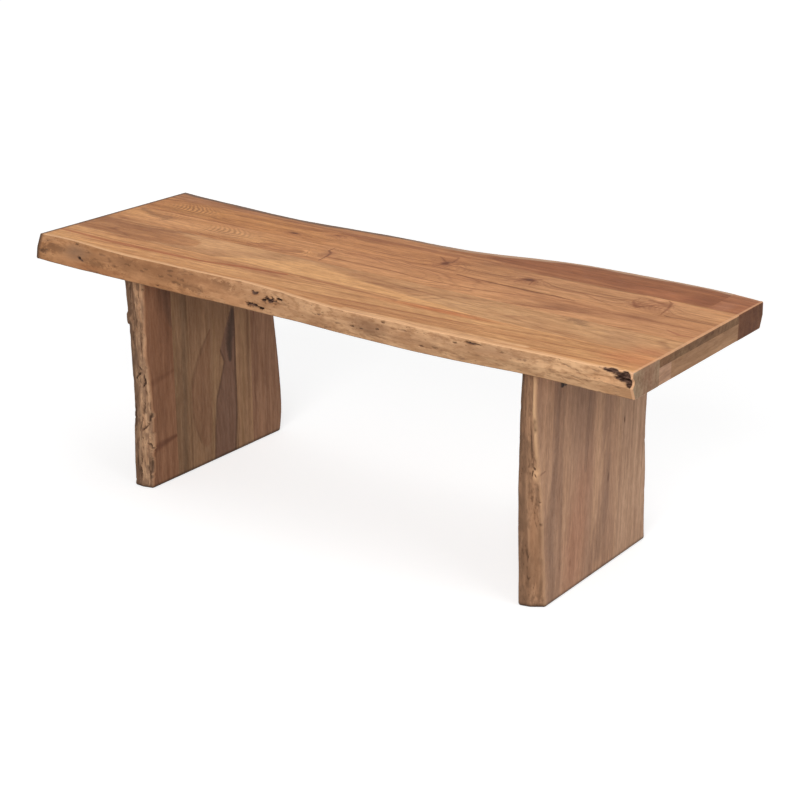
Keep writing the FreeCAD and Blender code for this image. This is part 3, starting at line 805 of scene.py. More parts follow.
@dataclass
class LivePlank:
    """A plank that keeps the tree's own edge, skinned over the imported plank.

    Its arris has one radius on the upper side and one on the lower, and each end is eased by its own.
    """

    node: str
    timber: Timber
    outward: int
    relief: Relief = field(default_factory=Relief)
    scars: tuple[Scar, ...] = ()
    step: float = 0.0015
    arris: Pair = (0.0018, 0.003)
    arris_rows: int = 5
    edge_rows: int = 27
    face_rows: int = 4
    end_ease: Pair = (0.0022, 0.0022)
    end_clear: Pair = (0.0025, 0.0055)
    cap_inset: float = 0.0002
    clear_depth: float = 0.1
    even: float = 0.006
    ray_start: float = 0.05

    def __post_init__(self) -> None:
        """Reads the plank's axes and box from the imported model."""
        self.long, self.wide, self.thick = self.timber.grain.value
        low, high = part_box(self.node)
        self.start, self.end = low[self.long], high[self.long]
        self.bottom, self.top = low[self.thick], high[self.thick]
        near, far = (high, low) if self.outward < 0 else (low, high)
        self.glue, self.limit = near[self.wide], far[self.wide]
        self.levels = np.linspace(self.top - self.arris[0], self.bottom + self.arris[1], self.edge_rows + 1)

    def build(self, material: bpy.types.Material, slot: str) -> bpy.types.Object:
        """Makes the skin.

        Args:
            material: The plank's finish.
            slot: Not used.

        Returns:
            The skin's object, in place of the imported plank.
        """
        stations, insets = self.stations()
        edge, hollow, crest = self.weathered(stations, self.measure(stations))
        rows = self.rows()
        shape = bmesh.new()
        layers = [shape.verts.layers.float.new(name) for name in LIVE_NUMBERS]
        bmesh.ops.create_grid(shape, x_segments=len(stations) - 1, y_segments=len(rows) - 1, size=0.5)
        grid = {}
        for vert in shape.verts:
            i = round((vert.co.x + 0.5) * (len(stations) - 1))
            j = round((vert.co.y + 0.5) * (len(rows) - 1))
            grid[i, j] = vert
            level, out, through, live = self.section(edge[i], insets[i], *rows[j])
            inside = max(0.0, edge[i, level] - out) * (1 - live)
            numbers = (inside, live, hollow[i, level] * live, crest[i, level])
            for layer, number in zip(layers, numbers):
                vert[layer] = number
            vert.co = self.point(stations[i], self.glue + self.outward * out, through)
        self.close(shape, grid, len(stations), len(rows), layers)
        mesh = bpy.data.meshes.new(f"{self.node}_skin")
        shape.to_mesh(mesh)
        shape.free()
        mesh.shade_smooth()
        mesh.set_sharp_from_angle(angle=SHARP_ANGLE)
        mesh.materials.append(material)
        skin = bpy.data.objects.new(f"{self.node}_skin", mesh)
        bpy.context.scene.collection.objects.link(skin)
        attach(skin, BODY)
        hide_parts(self.node)
        log.info("%s: %d faces", skin.name, len(mesh.polygons))
        return skin

    def stations(self) -> tuple[np.ndarray, np.ndarray]:
        """The places of the cross sections along the plank, and how far each is drawn in to ease the ends."""
        first, last = self.end_ease
        turns = np.radians([0, 30, 60])
        offset, inset = 1 - np.cos(turns), 1 - np.sin(turns)
        inner = np.linspace(self.start + first, self.end - last, round((self.end - self.start) / self.step))
        places = np.concatenate([self.start + first * offset, inner, (self.end - last * offset)[::-1]])
        return places, np.concatenate([first * inset, np.zeros(len(inner)), (last * inset)[::-1]])

    def point(self, along: float, across: float, through: float) -> Vector:
        """A point in the bench's frame from the plank's own three numbers."""
        place = Vector((0, 0, 0))
        place[self.long], place[self.wide], place[self.thick] = along, across, through
        return place

    def measure(self, stations: np.ndarray) -> np.ndarray:
        """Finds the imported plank's edge from outside.

        Args:
            stations: Places along the plank.

        Returns:
            How far out the edge stands from the glue line, one row for each station, evened along the plank.
        """
        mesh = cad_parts[self.node].data
        tree = BVHTree.FromPolygons([v.co for v in mesh.vertices], [tuple(p.vertices) for p in mesh.polygons])
        far = self.limit + self.outward * self.ray_start
        inward = self.point(0, -self.outward, 0)
        out = np.zeros((len(stations), len(self.levels)))
        first, last = self.start + self.end_ease[0], self.end - self.end_ease[1]
        for i, along in enumerate(np.clip(stations, first, last)):
            for j, level in enumerate(self.levels):
                hit = tree.ray_cast(self.point(along, far, level), inward)[0]
                out[i, j] = abs(hit[self.wide] - self.glue) if hit else out[i, j - 1]
        reach = max(1, round(2.5 * self.even / self.step))
        bell = np.exp(-0.5 * (np.arange(-reach, reach + 1) * self.step / self.even) ** 2)
        padded = np.pad(out, ((reach, reach), (0, 0)), mode="edge")
        return np.apply_along_axis(np.convolve, 0, padded, bell / bell.sum(), mode="valid")

    def weathered(self, stations: np.ndarray, edge: np.ndarray) -> tuple[np.ndarray, np.ndarray, np.ndarray]:
        """Roughens the edge, less and less towards the plank's ends.

        Args:
            stations: Places along the plank.
            edge: How far out the plain edge stands at each station and level.

        Returns:
            How far out the rough edge stands, how dark a hollow is there, and how high on a ridge it is.
        """
        marks = np.array([[self.relief_at(along, level) for level in self.levels] for along in stations])
        inside = np.minimum(stations - self.start, self.end - stations)
        fade = np.interp(inside, self.end_clear, (0, 1))[:, None]
        out = np.minimum(edge + marks[..., 0] * fade, abs(self.limit - self.glue))
        return out, marks[..., 1] * fade, marks[..., 2]

    def relief_at(self, along: float, level: float) -> Triple:
        """The live edge's relief at one place.

        Args:
            along: The place along the plank.
            level: The height through its thickness.

        Returns:
            How far the surface stands out from the plain edge, how dark a hollow is there, and how high on a
            ridge the place is, from 0 to 1.
        """
        relief = self.relief
        shift = self.timber.seed * 3.7
        sway = 0.004 * noise.noise(Vector((along * 25, level * 30, shift + 9)))
        ridge = noise.noise(Vector((along / relief.length, (level + sway) / relief.width, shift)))
        broken = noise.noise(Vector((along * 18, level * 60, shift + 3)))
        crease = max(0.0, 1 - abs(ridge) / 0.16) * min(1.0, max(0.0, broken * 4 - 0.2))
        out = relief.swell * noise.fractal(Vector((along * 11, level * 14, shift)), 1.0, 2.0, 3)
        out += relief.ridge * ridge - relief.crease * crease
        out += relief.grit * noise.fractal(Vector((along * 160, level * 420, shift)), 1.0, 2.0, 2)
        # Painted shade in the creases.
        hollow = relief.painted_crease_shade * crease
        fray = noise.fractal(Vector((along * 110, level * 200, shift + 5)), 0.8, 2.0, 3)
        for scar in self.scars:
            turn = math.radians(scar.turn)
            run, rise = along - scar.at[0], level - scar.at[1]
            reach = math.hypot((run * math.cos(turn) + rise * math.sin(turn)) / scar.reach[0],
                               (rise * math.cos(turn) - run * math.sin(turn)) / scar.reach[1])
            if reach < SCAR_LIMIT:
                mask = 1 / (1 + math.exp(7 * (reach + scar.fray * fray - 1)))
                halo = 0.3 * math.exp(-0.8 * reach * reach)
                out -= scar.depth * mask
                # How dark the scar is inside, fading over a fainter halo round it: painted shade in holes,
                # pits and furrows.
                hollow = max(hollow, scar.dark * max(mask, halo))
        return out, hollow, 0.5 + 0.8 * ridge

    def rows(self) -> list[tuple[str, float]]:
        """The rows round the plank's section, from the glue line over the top and back below."""
        faces = [i / self.face_rows for i in range(self.face_rows)]
        turns = [i / self.arris_rows for i in range(self.arris_rows)]
        upper = [("top", share) for share in faces] + [("over", share) for share in turns]
        under = [("under", share) for share in reversed(turns)]
        below = [("bottom", share) for share in reversed(faces)]
        return upper + [("edge", level) for level in range(self.edge_rows + 1)] + under + below

    def section(self, edge: np.ndarray, inset: float, stretch: str,
                share: float) -> tuple[int, float, float, float]:
        """One point of the plank's section.

        Args:
            edge: How far out the edge stands at this station, from the top level down.
            inset: How far the section is drawn in here.
            stretch: The stretch of the section that the point is on.
            share: How far out along that stretch it is, or the level on the edge.

        Returns:
            The level it goes with, how far out the point stands, its height through the plank, and how much
            it belongs to the live edge.
        """
        if stretch == "edge":
            return share, float(edge[share]) - inset, float(self.levels[share]), 1.0
        upper = stretch in ("top", "over")
        level = 0 if upper else self.edge_rows
        inward = -1 if upper else 1
        face = (self.top if upper else self.bottom) + inward * inset
        radius = self.arris[0 if upper else 1]
        brow = float(edge[level]) - inset
        if stretch in ("top", "bottom"):
            return level, (brow - radius) * share, face, 0.0
        turn = math.pi / 2 * share
        drop = (radius - inset) * (1 - math.cos(turn))
        return level, brow - radius * (1 - math.sin(turn)), face + inward * drop, math.sin(turn)

    def close(self, shape: bmesh.types.BMesh, grid: dict[tuple[int, int], bmesh.types.BMVert], stations: int,
              rows: int, layers: list) -> None:
        """Closes the skin along its glue line and at both ends, which stay clear of the live edge's numbers.

        Args:
            shape: The skin's mesh.
            grid: Its points by station and row.
            stations, rows: How many there are of each.
            layers: The live edge's numbers on the points.
        """
        def chain(points: list[tuple[int, int]]) -> list[bmesh.types.BMEdge]:
            """The edges between points that follow each other."""
            return [shape.edges.get((grid[a], grid[b])) for a, b in zip(points, points[1:])]

        glue = [chain([(i, j) for i in range(stations)]) for j in (0, rows - 1)]
        bmesh.ops.bridge_loops(shape, edges=glue[0] + glue[1])
        for i in (0, stations - 1):
            cap = bmesh.ops.edgeloop_fill(shape, edges=chain([(i, j) for j in (*range(rows), 0)]))["faces"]
            bmesh.ops.inset_region(shape, faces=cap, thickness=self.cap_inset, use_boundary=True,
                                   use_even_offset=False)
            for vert in {vert for face in cap for vert in face.verts}:
                for layer, number in zip(layers, (self.clear_depth, 0.0, 0.0, 0.5)):
                    vert[layer] = number
        bmesh.ops.recalc_face_normals(shape, faces=shape.faces)


def dress(node: str, material: bpy.types.Material) -> None:
    """Gives a packed board or fitting its finish."""
    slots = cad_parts[node].data.materials
    slots.clear()
    slots.append(material)
    log.info("%s: %s", node, material.name)


@dataclass
class Seat:
    """The top: a plank with a live edge at the front and back, and three thin boards between them."""

    shop: WoodShop
    slot: str = "seat_wood"
    # Painted light along the top's ends: a wide band of painted shade at the left end and a thin painted
    # highlight along the right end's arris.
    rims: tuple[PaintedEndLight, PaintedEndLight] = (PaintedEndLight(screen(94, 70, 54), 0.009, 1.0), PaintedEndLight(screen(226, 176, 138), 0.0012, 0.5))
    end_ease: float = 0.0022
    glued_end: float = 0.0002
    front_relief: Relief = field(default_factory=Relief)
    back_relief: Relief = field(default_factory=lambda: Relief(swell=0.0014, ridge=0.0008, crease=0.0014))

    def build(self) -> None:
        """Skins both planks and finishes the boards."""
        ease, flush = self.end_ease, self.glued_end
        self.skin("seat_front_plank", self.front_plank(), -1, self.front_relief, (ease, ease),
                  self.front_scars())
        self.skin("seat_back_plank", self.back_plank(), 1, self.back_relief, (ease, flush))
        self.skin("seat_back_end_block", self.end_block(), 1, self.back_relief, (flush, ease))
        boards = {"seat_board_front": self.front_board(), "seat_board_middle": self.middle_board(),
                  "seat_board_back": self.back_board()}
        for node, timber in boards.items():
            dress(node, self.shop.finish(f"{node}_wood", timber))

    def skin(self, node: str, timber: Timber, outward: int, relief: Relief, eases: Pair,
             scars: tuple[Scar, ...] = ()) -> None:
        """Skins one plank."""
        material = self.shop.finish(f"{node}_wood", timber, live=True)
        LivePlank(node, timber, outward, relief, scars, end_ease=eases).build(material, self.slot)

    def timber(self, palette: Palette, pith: Pair, seed: float, **figure) -> Timber:
        """The wood of one board of the top, with the top's rims at its ends."""
        return Timber(grain=Grain.SEAT, palette=palette, pith=pith, seed=seed, rims=self.rims, **figure)

    def front_plank(self) -> Timber:
        """Straight honey-coloured grain with a red band at the left and an orange one right of the middle."""
        return self.timber(
            HONEY, (0.14, 0.4), 1.3, lean=(0.07, 0.0), wander=0.018, line=0.4, end=(0.62, 0.86, 1.3),
            sap=screen(230, 183, 140), sap_depth=0.007, rind=screen(206, 162, 123),
            # brow paints a strong highlight along the top's front arris.
            smudge=screen(162, 118, 84), bark=screen(106, 80, 68), brow=3.2,
            stains=(
                tint((-0.612, -0.174), (0.0034, 0.08), (1.2, 0.95, 0.7), power=6.0, soft=0.1, fray=0.0),
                tint((0.38, -0.165), (0.24, 0.06), (1.01, 1.08, 1.13), soft=0.9, power=2.0),
                tint((-0.45, -0.165), (0.22, 0.06), (1.07, 1.09, 1.09), soft=0.9, power=2.0),
                tint((0.0, -0.165), (0.24, 0.06), (0.9, 0.9, 0.92), soft=0.9, power=2.0),
                Stain((-0.15, -0.14), (0.07, 0.012), screen(156, 98, 64), 0.5, soft=0.9),
                Stain((0.22, -0.135), (0.1, 0.0075), screen(190, 110, 64), 0.7, turn=3, soft=0.8),
                Stain((0.59, -0.15), (0.05, 0.03), screen(188, 112, 72), 0.45, soft=0.9),
            ),
            trails=(
                drawn(screen(160, 84, 46), 0.75,
                      ((-0.61, -0.156, 0.004), (-0.495, -0.162, 0.005), (-0.395, -0.161, 0.006),
                       (-0.313, -0.159, 0.0055), (-0.257, -0.156, 0.0035), (-0.181, -0.142, 0.004),
                       (-0.09, -0.13, 0.003))),
                drawn(RED_LINE, 0.35,
                      ((-0.6, -0.146, 0.002), (-0.478, -0.15, 0.002), (-0.307, -0.147, 0.002))),
                drawn(RED_LINE, 0.5, ((-0.06, -0.127, 0.003), (0.05, -0.129, 0.004), (0.14, -0.133, 0.003)),
                      bend=0.002),
                drawn(RED_LINE, 0.5,
                      ((-0.04, -0.189, 0.001), (0.072, -0.181, 0.0018), (0.153, -0.174, 0.0022),
                       (0.231, -0.167, 0.002), (0.307, -0.16, 0.002), (0.376, -0.147, 0.0016),
                       (0.46, -0.136, 0.001)), fray=1.6),
                drawn(screen(232, 188, 144), 0.5,
                      ((0.1, -0.212, 0.003), (0.21, -0.212, 0.006), (0.313, -0.207, 0.007),
                       (0.363, -0.204, 0.006), (0.43, -0.197, 0.003)), bend=0.002),
                drawn(RED_LINE, 0.4, ((0.12, -0.19, 0.001), (0.34, -0.176, 0.0018), (0.56, -0.15, 0.001)),
                      ((0.33, -0.15, 0.001), (0.45, -0.132, 0.0018), (0.6, -0.126, 0.001)), fray=1.6),
            ),
            edge_stains=(
                tint((-0.42, 0.428), (0.26, 0.04), (0.73, 0.6, 0.5), soft=0.5),
                *(Stain(at, (0.024, 0.006), screen(98, 62, 42), 0.7, soft=0.4, fray=4.0, torn=True)
                  for at in ((-0.565, 0.438), (-0.455, 0.43), (-0.385, 0.446), (-0.225, 0.43),
                             (-0.165, 0.444))),
                *(Stain(at, (0.034, 0.008), screen(190, 138, 98), 0.6, soft=0.8, fray=2.4)
                  for at in ((-0.535, 0.426), (-0.425, 0.444), (-0.345, 0.428), (-0.195, 0.438),
                             (-0.13, 0.426))),
                tint((0.44, 0.434), (0.18, 0.04), (1.08, 1.12, 1.13)),
                Stain((-0.51, 0.44), (0.03, 0.01), screen(118, 92, 76), 0.7, soft=0.8, fray=1.4),
                Stain((-0.46, 0.42), (0.07, 0.006), screen(146, 90, 58), 0.5, soft=0.8, fray=2.0),
                Stain((0.158, 0.437), (0.034, 0.012), screen(108, 76, 58), 0.8, soft=0.9, fray=1.6),
                Stain((0.25, 0.434), (0.04, 0.01), screen(140, 100, 74), 0.5, soft=0.9, fray=2.0),
                Stain((0.37, 0.444), (0.07, 0.008), screen(136, 98, 74), 0.6, soft=0.9, fray=2.0),
                Stain((-0.3, 0.442), (0.13, 0.012), screen(116, 76, 52), 0.7, soft=0.9, fray=2.4),
                Stain((-0.075, 0.436), (0.05, 0.014), screen(146, 104, 74), 0.5, soft=0.9, fray=1.4),
            ),
        )

    def front_scars(self) -> tuple[Scar, ...]:
        """The front edge's holes, slits and smudges, with the bark pocket at its right end."""
        holes = ((-0.092, 0.444, 7, 2.4), (-0.055, 0.439, 11, 3.6), (-0.036, 0.444, 6, 1.5),
                 (-0.070, 0.437, 5, 1.8), (-0.095, 0.424, 11, 2.2), (-0.074, 0.422, 5, 1.4))
        pits = ((0.123, 0.433), (0.139, 0.432), (0.170, 0.438), (0.183, 0.451), (0.240, 0.437),
                (0.253, 0.427), (0.316, 0.446), (0.056, 0.439), (-0.305, 0.419), (-0.515, 0.452))
        chain = ((0.091, 0.432), (0.221, 0.447), (0.275, 0.430), (0.400, 0.447), (0.433, 0.441),
                 (0.069, 0.418))
        specks = ((-0.442, 0.447), (-0.415, 0.434), (-0.404, 0.434), (-0.377, 0.442), (-0.342, 0.437),
                  (-0.333, 0.442), (-0.299, 0.436), (-0.278, 0.447), (-0.277, 0.441), (-0.268, 0.431),
                  (-0.258, 0.430), (-0.249, 0.4395), (-0.234, 0.449))
        pocket = ((0.575, 0.4535, 13, 2.2, -6), (0.590, 0.4515, 16, 3.2, -10), (0.595, 0.4462, 14, 3.4, -14),
                  (0.589, 0.4430, 11, 3.0, -16), (0.599, 0.4408, 11, 3.4, -16), (0.602, 0.4358, 7, 2.6, -18),
                  (0.603, 0.4515, 9, 4.2, -6))
        splits = ((0.512, 0.446), (0.529, 0.439), (0.549, 0.450), (0.517, 0.431), (0.564, 0.434),
                  (0.586, 0.430))
        return (
            *scars(holes, 0.005, fray=1.3),
            *(Scar(place, (0.0034, 0.0013), 0.0014, dark=0.6, fray=1.2) for place in pits),
            *(Scar(place, (0.007, 0.0020), 0.0008, dark=0.42, fray=1.6) for place in chain),
            *(Scar(place, (0.0058, 0.0020), 0.0005, dark=0.40, fray=1.6) for place in specks),
            *(Scar(place, (0.013, 0.0010), 0.0008, turn=-14, dark=0.4, fray=1.2) for place in splits),
            Scar((0.348, 0.4505), (0.016, 0.0014), 0.003, fray=0.8, dark=0.85),
            Scar((-0.497, 0.432), (0.008, 0.0022), 0.003, turn=-20, fray=0.9),
            Scar((-0.588, 0.430), (0.012, 0.0040), 0.001, dark=0.5, fray=1.2),
            *scars(pocket, 0.003, fray=0.5),
        )

    def front_board(self) -> Timber:
        """A brown patch at the left, a golden wedge along the front joint and paler wood to the right."""
        return self.timber(
            WHEAT, (-0.09, 0.33), 2.1, lean=(0.04, 0.05), wander=0.035, ring=0.4, line=0.35,
            end=(0.45, 0.49, 0.54),
            stains=(
                Stain((0.428, -0.05), (0.024, 0.01), screen(128, 90, 62), 0.6, turn=-25, soft=0.7, fray=3.0,
                      torn=True),
                Stain((0.525, -0.08), (0.034, 0.026), screen(158, 112, 80), 0.35, soft=0.9, fray=1.6),
                tint((0.4, -0.082), (0.24, 0.05), (0.99, 1.02, 1.06)),
                Stain((-0.29, -0.078), (0.09, 0.03), screen(216, 162, 114), 0.5, soft=0.9),
                Stain((0.585, -0.108), (0.03, 0.02), screen(186, 110, 70), 0.45, soft=0.9),
            ),
            trails=(
                drawn((0.8, 0.69, 0.6, 1.0), 1.0,
                      ((-0.62, -0.082, 0.042), (-0.5, -0.084, 0.04), (-0.43, -0.084, 0.04),
                       (-0.35, -0.088, 0.02)), soft=0.25, lay=Lay.INTO),
                drawn((0.82, 0.76, 0.74, 1.0), 1.0,
                      ((-0.61, -0.06, 0.012), (-0.52, -0.072, 0.01), (-0.44, -0.066, 0.004)), lay=Lay.INTO),
                drawn(GOLD, 0.68,
                      ((-0.255, -0.124, 0.002), (-0.204, -0.112, 0.012), (-0.146, -0.1, 0.024),
                       (-0.106, -0.09, 0.036), (-0.035, -0.098, 0.03), (0.028, -0.106, 0.024),
                       (0.112, -0.114, 0.016), (0.204, -0.119, 0.009), (0.275, -0.125, 0.003)), soft=0.25,
                      fray=0.4, bend=0.006),
                drawn(RED_LINE, 0.4, ((-0.21, -0.123, 0.0025), (0.14, -0.123, 0.003)), bend=0.0),
                drawn(RED_LINE, 0.35, ((0.02, -0.062, 0.001), (0.16, -0.074, 0.002), (0.3, -0.085, 0.001))),
            ),
        )

    def middle_board(self) -> Timber:
        """A gold ripple at the left, a hooked knot mark and a long crack that darkens to the right."""
        return self.timber(
            TAWNY, (0.0, 0.36), 3.7, lean=(0.07, -0.06), wander=0.04, ring=0.36, cloud=0.4, line=0.5,
            end=(0.37, 0.41, 0.46),
            knots=(
                Knot((-0.33, -0.004), (0.07, 0.024), 0.05),
                Knot((-0.108, 0.002), (0.03, 0.03), 0.04),
            ),
            ripples=(
                Ripple((-0.345, 0.0), (0.048, 0.032), 0.45, soft=0.6, pitch=0.011, bow=22.0),
                Ripple((-0.5, 0.02), (0.04, 0.02), 0.2, soft=0.8),
            ),
            stains=(
                tint((-0.45, 0.0), (0.26, 0.05), (1.09, 1.09, 0.97)),
                tint((0.45, 0.0), (0.22, 0.05), (0.97, 1.0, 1.06)),
                Stain((-0.33, 0.006), (0.06, 0.022), screen(218, 166, 116), 0.5, soft=0.9),
                Stain((-0.11, 0.004), (0.012, 0.018), screen(140, 84, 54), 0.45, soft=0.7, fray=3.0),
                Stain((-0.47, -0.006), (0.09, 0.026), screen(220, 162, 112), 0.6, soft=0.8),
            ),
            trails=(
                drawn(screen(118, 66, 42), 0.75,
                      ((-0.124, 0.042, 0.001), (-0.123, 0.023, 0.002), (-0.11, 0.013, 0.0026),
                       (-0.104, -0.005, 0.002), (-0.099, -0.034, 0.001)), soft=0.7, fray=1.4, bend=0.006),
                drawn(RED_LINE, 0.6,
                      ((-0.1, -0.01, 0.0026), (-0.08, -0.009, 0.0024), (-0.029, -0.008, 0.0018),
                       (0.046, -0.009, 0.0018), (0.102, -0.015, 0.002), (0.169, -0.013, 0.0016),
                       (0.224, -0.007, 0.0018), (0.3, 0.011, 0.001)), fray=1.6),
                drawn(screen(112, 62, 36), 0.8,
                      ((0.138, 0.039, 0.001), (0.174, 0.037, 0.002), (0.236, 0.036, 0.0036),
                       (0.286, 0.036, 0.005), (0.311, 0.037, 0.0036), (0.37, 0.034, 0.001)), fray=1.8,
                      bend=0.004),
                drawn(GOLD, 0.4, ((0.22, 0.041, 0.001), (0.32, 0.04, 0.0022)), bend=0.002, soft=0.7),
                drawn(RED_LINE, 0.45,
                      ((0.28, -0.04, 0.001), (0.327, -0.03, 0.002), (0.392, -0.018, 0.002),
                       (0.44, 0.003, 0.001)),
                      ((0.4, 0.012, 0.001), (0.5, 0.018, 0.002), (0.6, 0.02, 0.001)), fray=1.4),
                drawn(screen(150, 84, 60), 0.6,
                      ((0.555, -0.004, 0.001), (0.582, -0.016, 0.0032), (0.606, -0.014, 0.001))),
                drawn(screen(136, 90, 56), 0.6,
                      ((-0.585, 0.036, 0.005), (-0.535, 0.018, 0.008), (-0.5, 0.008, 0.01)), soft=0.95,
                      fray=3.0, bend=0.03),
            ),
        )

    def back_board(self) -> Timber:
        """Ripples at the left end, four small knots and a shell-shaped swirl near the right end."""
        swirl, mark = screen(128, 72, 42), screen(118, 64, 36)
        lashes = (((0.055, 0.108, 0.001), (0.083, 0.087, 0.003)),
                  ((0.092, 0.091, 0.002), (0.085, 0.12, 0.002)),
                  ((0.098, 0.085, 0.002), (0.126, 0.097, 0.001)),
                  ((0.076, 0.057, 0.001), (0.088, 0.081, 0.002)),
                  ((0.236, 0.063, 0.001), (0.243, 0.086, 0.002)),
                  ((0.256, 0.09, 0.003), (0.266, 0.1, 0.002)),
                  ((0.258, 0.088, 0.002), (0.265, 0.064, 0.001)))
        shell = (((0.446, 0.108, 0.001), (0.443, 0.09, 0.002), (0.464, 0.065, 0.003)),
                 ((0.466, 0.071, 0.003), (0.487, 0.093, 0.001)),
                 ((0.462, 0.108, 0.002), (0.488, 0.103, 0.003)),
                 ((0.489, 0.123, 0.001), (0.498, 0.115, 0.002), (0.507, 0.088, 0.002),
                  (0.512, 0.055, 0.001)))
        knots = (((-0.243, 0.073), (0.015, 0.007)), ((-0.170, 0.106), (0.012, 0.0055)),
                 ((0.085, 0.084), (0.014, 0.020)), ((0.250, 0.086), (0.017, 0.015)))
        return self.timber(
            AMBER, (0.3, 0.38), 5.2, lean=(0.02, 0.0), wander=0.03, ring=0.45, line=0.4,
            end=(0.4, 0.44, 0.5),
            knots=(
                Knot((-0.516, 0.09), (0.08, 0.038), 0.08),
                *(Knot(at, (reach[0] + 0.025, reach[1] + 0.012), 0.035) for at, reach in knots),
                Knot((0.478, 0.086), (0.04, 0.036), 0.07),
            ),
            ripples=(
                Ripple((-0.503, 0.078), (0.048, 0.034), 0.55, soft=0.6, pitch=0.011, bow=22.0),
                Ripple((0.12, 0.062), (0.04, 0.018), 0.2, soft=0.8),
                Ripple((0.475, 0.09), (0.03, 0.024), 0.3, soft=0.7, bow=-16.0),
            ),
            stains=(
                Stain((-0.498, 0.08), (0.055, 0.03), screen(212, 154, 100), 0.6, soft=0.8, fray=1.4),
                tint((0.4, 0.085), (0.24, 0.05), (1.02, 1.14, 1.29)),
                tint((-0.42, 0.085), (0.24, 0.05), (1.01, 0.99, 0.84)),
                tint((0.06, 0.085), (0.14, 0.05), (0.95, 0.94, 0.92)),
                *(Stain(at, (reach[0] * 1.7, reach[1] * 1.5), screen(158, 98, 64), 0.4, soft=0.8, fray=1.6)
                  for at, reach in knots),
                *(Stain(at, (reach[0] * 0.7, reach[1] * 0.6), mark, 0.7, soft=0.6, fray=3.0)
                  for at, reach in knots),
                *(Stain(at, (reach[0] * 0.4, reach[1] * 0.4), screen(92, 46, 22), 0.8, soft=0.6, fray=2.0)
                  for at, reach in knots),
                Stain((0.48, 0.092), (0.036, 0.03), screen(166, 106, 72), 0.35, soft=0.8, fray=1.2),
                Stain((0.476, 0.119), (0.01, 0.007), screen(226, 166, 122), 0.7, soft=0.6, fray=1.0),
                *(Stain(at, reach, swirl, 0.55, soft=0.8, fray=2.4)
                  for at, reach in (((0.457, 0.078), (0.01, 0.012)), ((0.497, 0.101), (0.011, 0.013)))),
            ),
            trails=(
                drawn(RED_LINE, 0.45,
                      ((-0.58, 0.046, 0.003), (-0.465, 0.046, 0.004), (-0.34, 0.046, 0.002))),
                drawn(RED_LINE, 0.5, ((-0.17, 0.122, 0.003), (-0.03, 0.124, 0.004), (0.08, 0.125, 0.003))),
                drawn(swirl, 0.65, *shell, fray=2.4, bend=0.012),
                drawn(mark, 0.55, *lashes, fray=2.0, bend=0.012),
                drawn(screen(226, 170, 124), 0.6, ((0.255, 0.047, 0.001), (0.312, 0.047, 0.003)), soft=0.8,
                      bend=0.002),
                drawn(DARK_LINE, 0.5, ((0.52, 0.053, 0.001), (0.581, 0.055, 0.002), (0.608, 0.057, 0.001)),
                      bend=0.002),
                drawn(RED_LINE, 0.4, ((0.3, 0.068, 0.001), (0.36, 0.072, 0.002), (0.43, 0.05, 0.001)),
                      bend=0.01),
            ),
        )

    def back_plank(self) -> Timber:
        """Chestnut wood with a dark red strip along its right half and a dark line of painted shade along its
        back arris, which turns pale towards the right.
        """
        return self.timber(
            # sap paints shade along the back arris; far_sap turns the band pale over the right half.
            CHESTNUT, (-0.1, 0.4), 6.4, wander=0.02, ring=0.7, cloud=0.7, sap=screen(100, 78, 64),
            far_sap=screen(192, 156, 126), sap_depth=0.012, sap_amount=0.85, rind=screen(122, 96, 78),
            smudge=screen(98, 76, 62),
            stains=(
                tint((0.375, 0.19), (0.28, 0.066), (0.72, 0.6, 0.56), soft=0.2),
                Stain((0.47, 0.15), (0.06, 0.014), screen(190, 122, 82), 0.55, soft=0.8),
                tint((0.53, 0.152), (0.026, 0.022), (0.8, 0.74, 0.72), power=4.0, soft=0.4, fray=0.4),
            ),
            trails=(
                drawn(RED_LINE, 0.45, ((-0.4, 0.13, 0.002), (-0.1, 0.13, 0.003), (0.1, 0.131, 0.002)),
                      bend=0.0),
            ),
        )

    def end_block(self) -> Timber:
        """Reddish wood, darker on its end, with a pale strip of sapwood."""
        return self.timber(
            RUSSET, (-0.1, 0.4), 7.9, wander=0.02, end=(0.42, 0.44, 0.47), sap=screen(196, 152, 116),
            sap_depth=0.008, rind=screen(160, 118, 88),
            stains=(Stain((0.574, 0.15), (0.012, 0.02), screen(178, 122, 92), 0.5, power=3.0, soft=0.6),),
        )


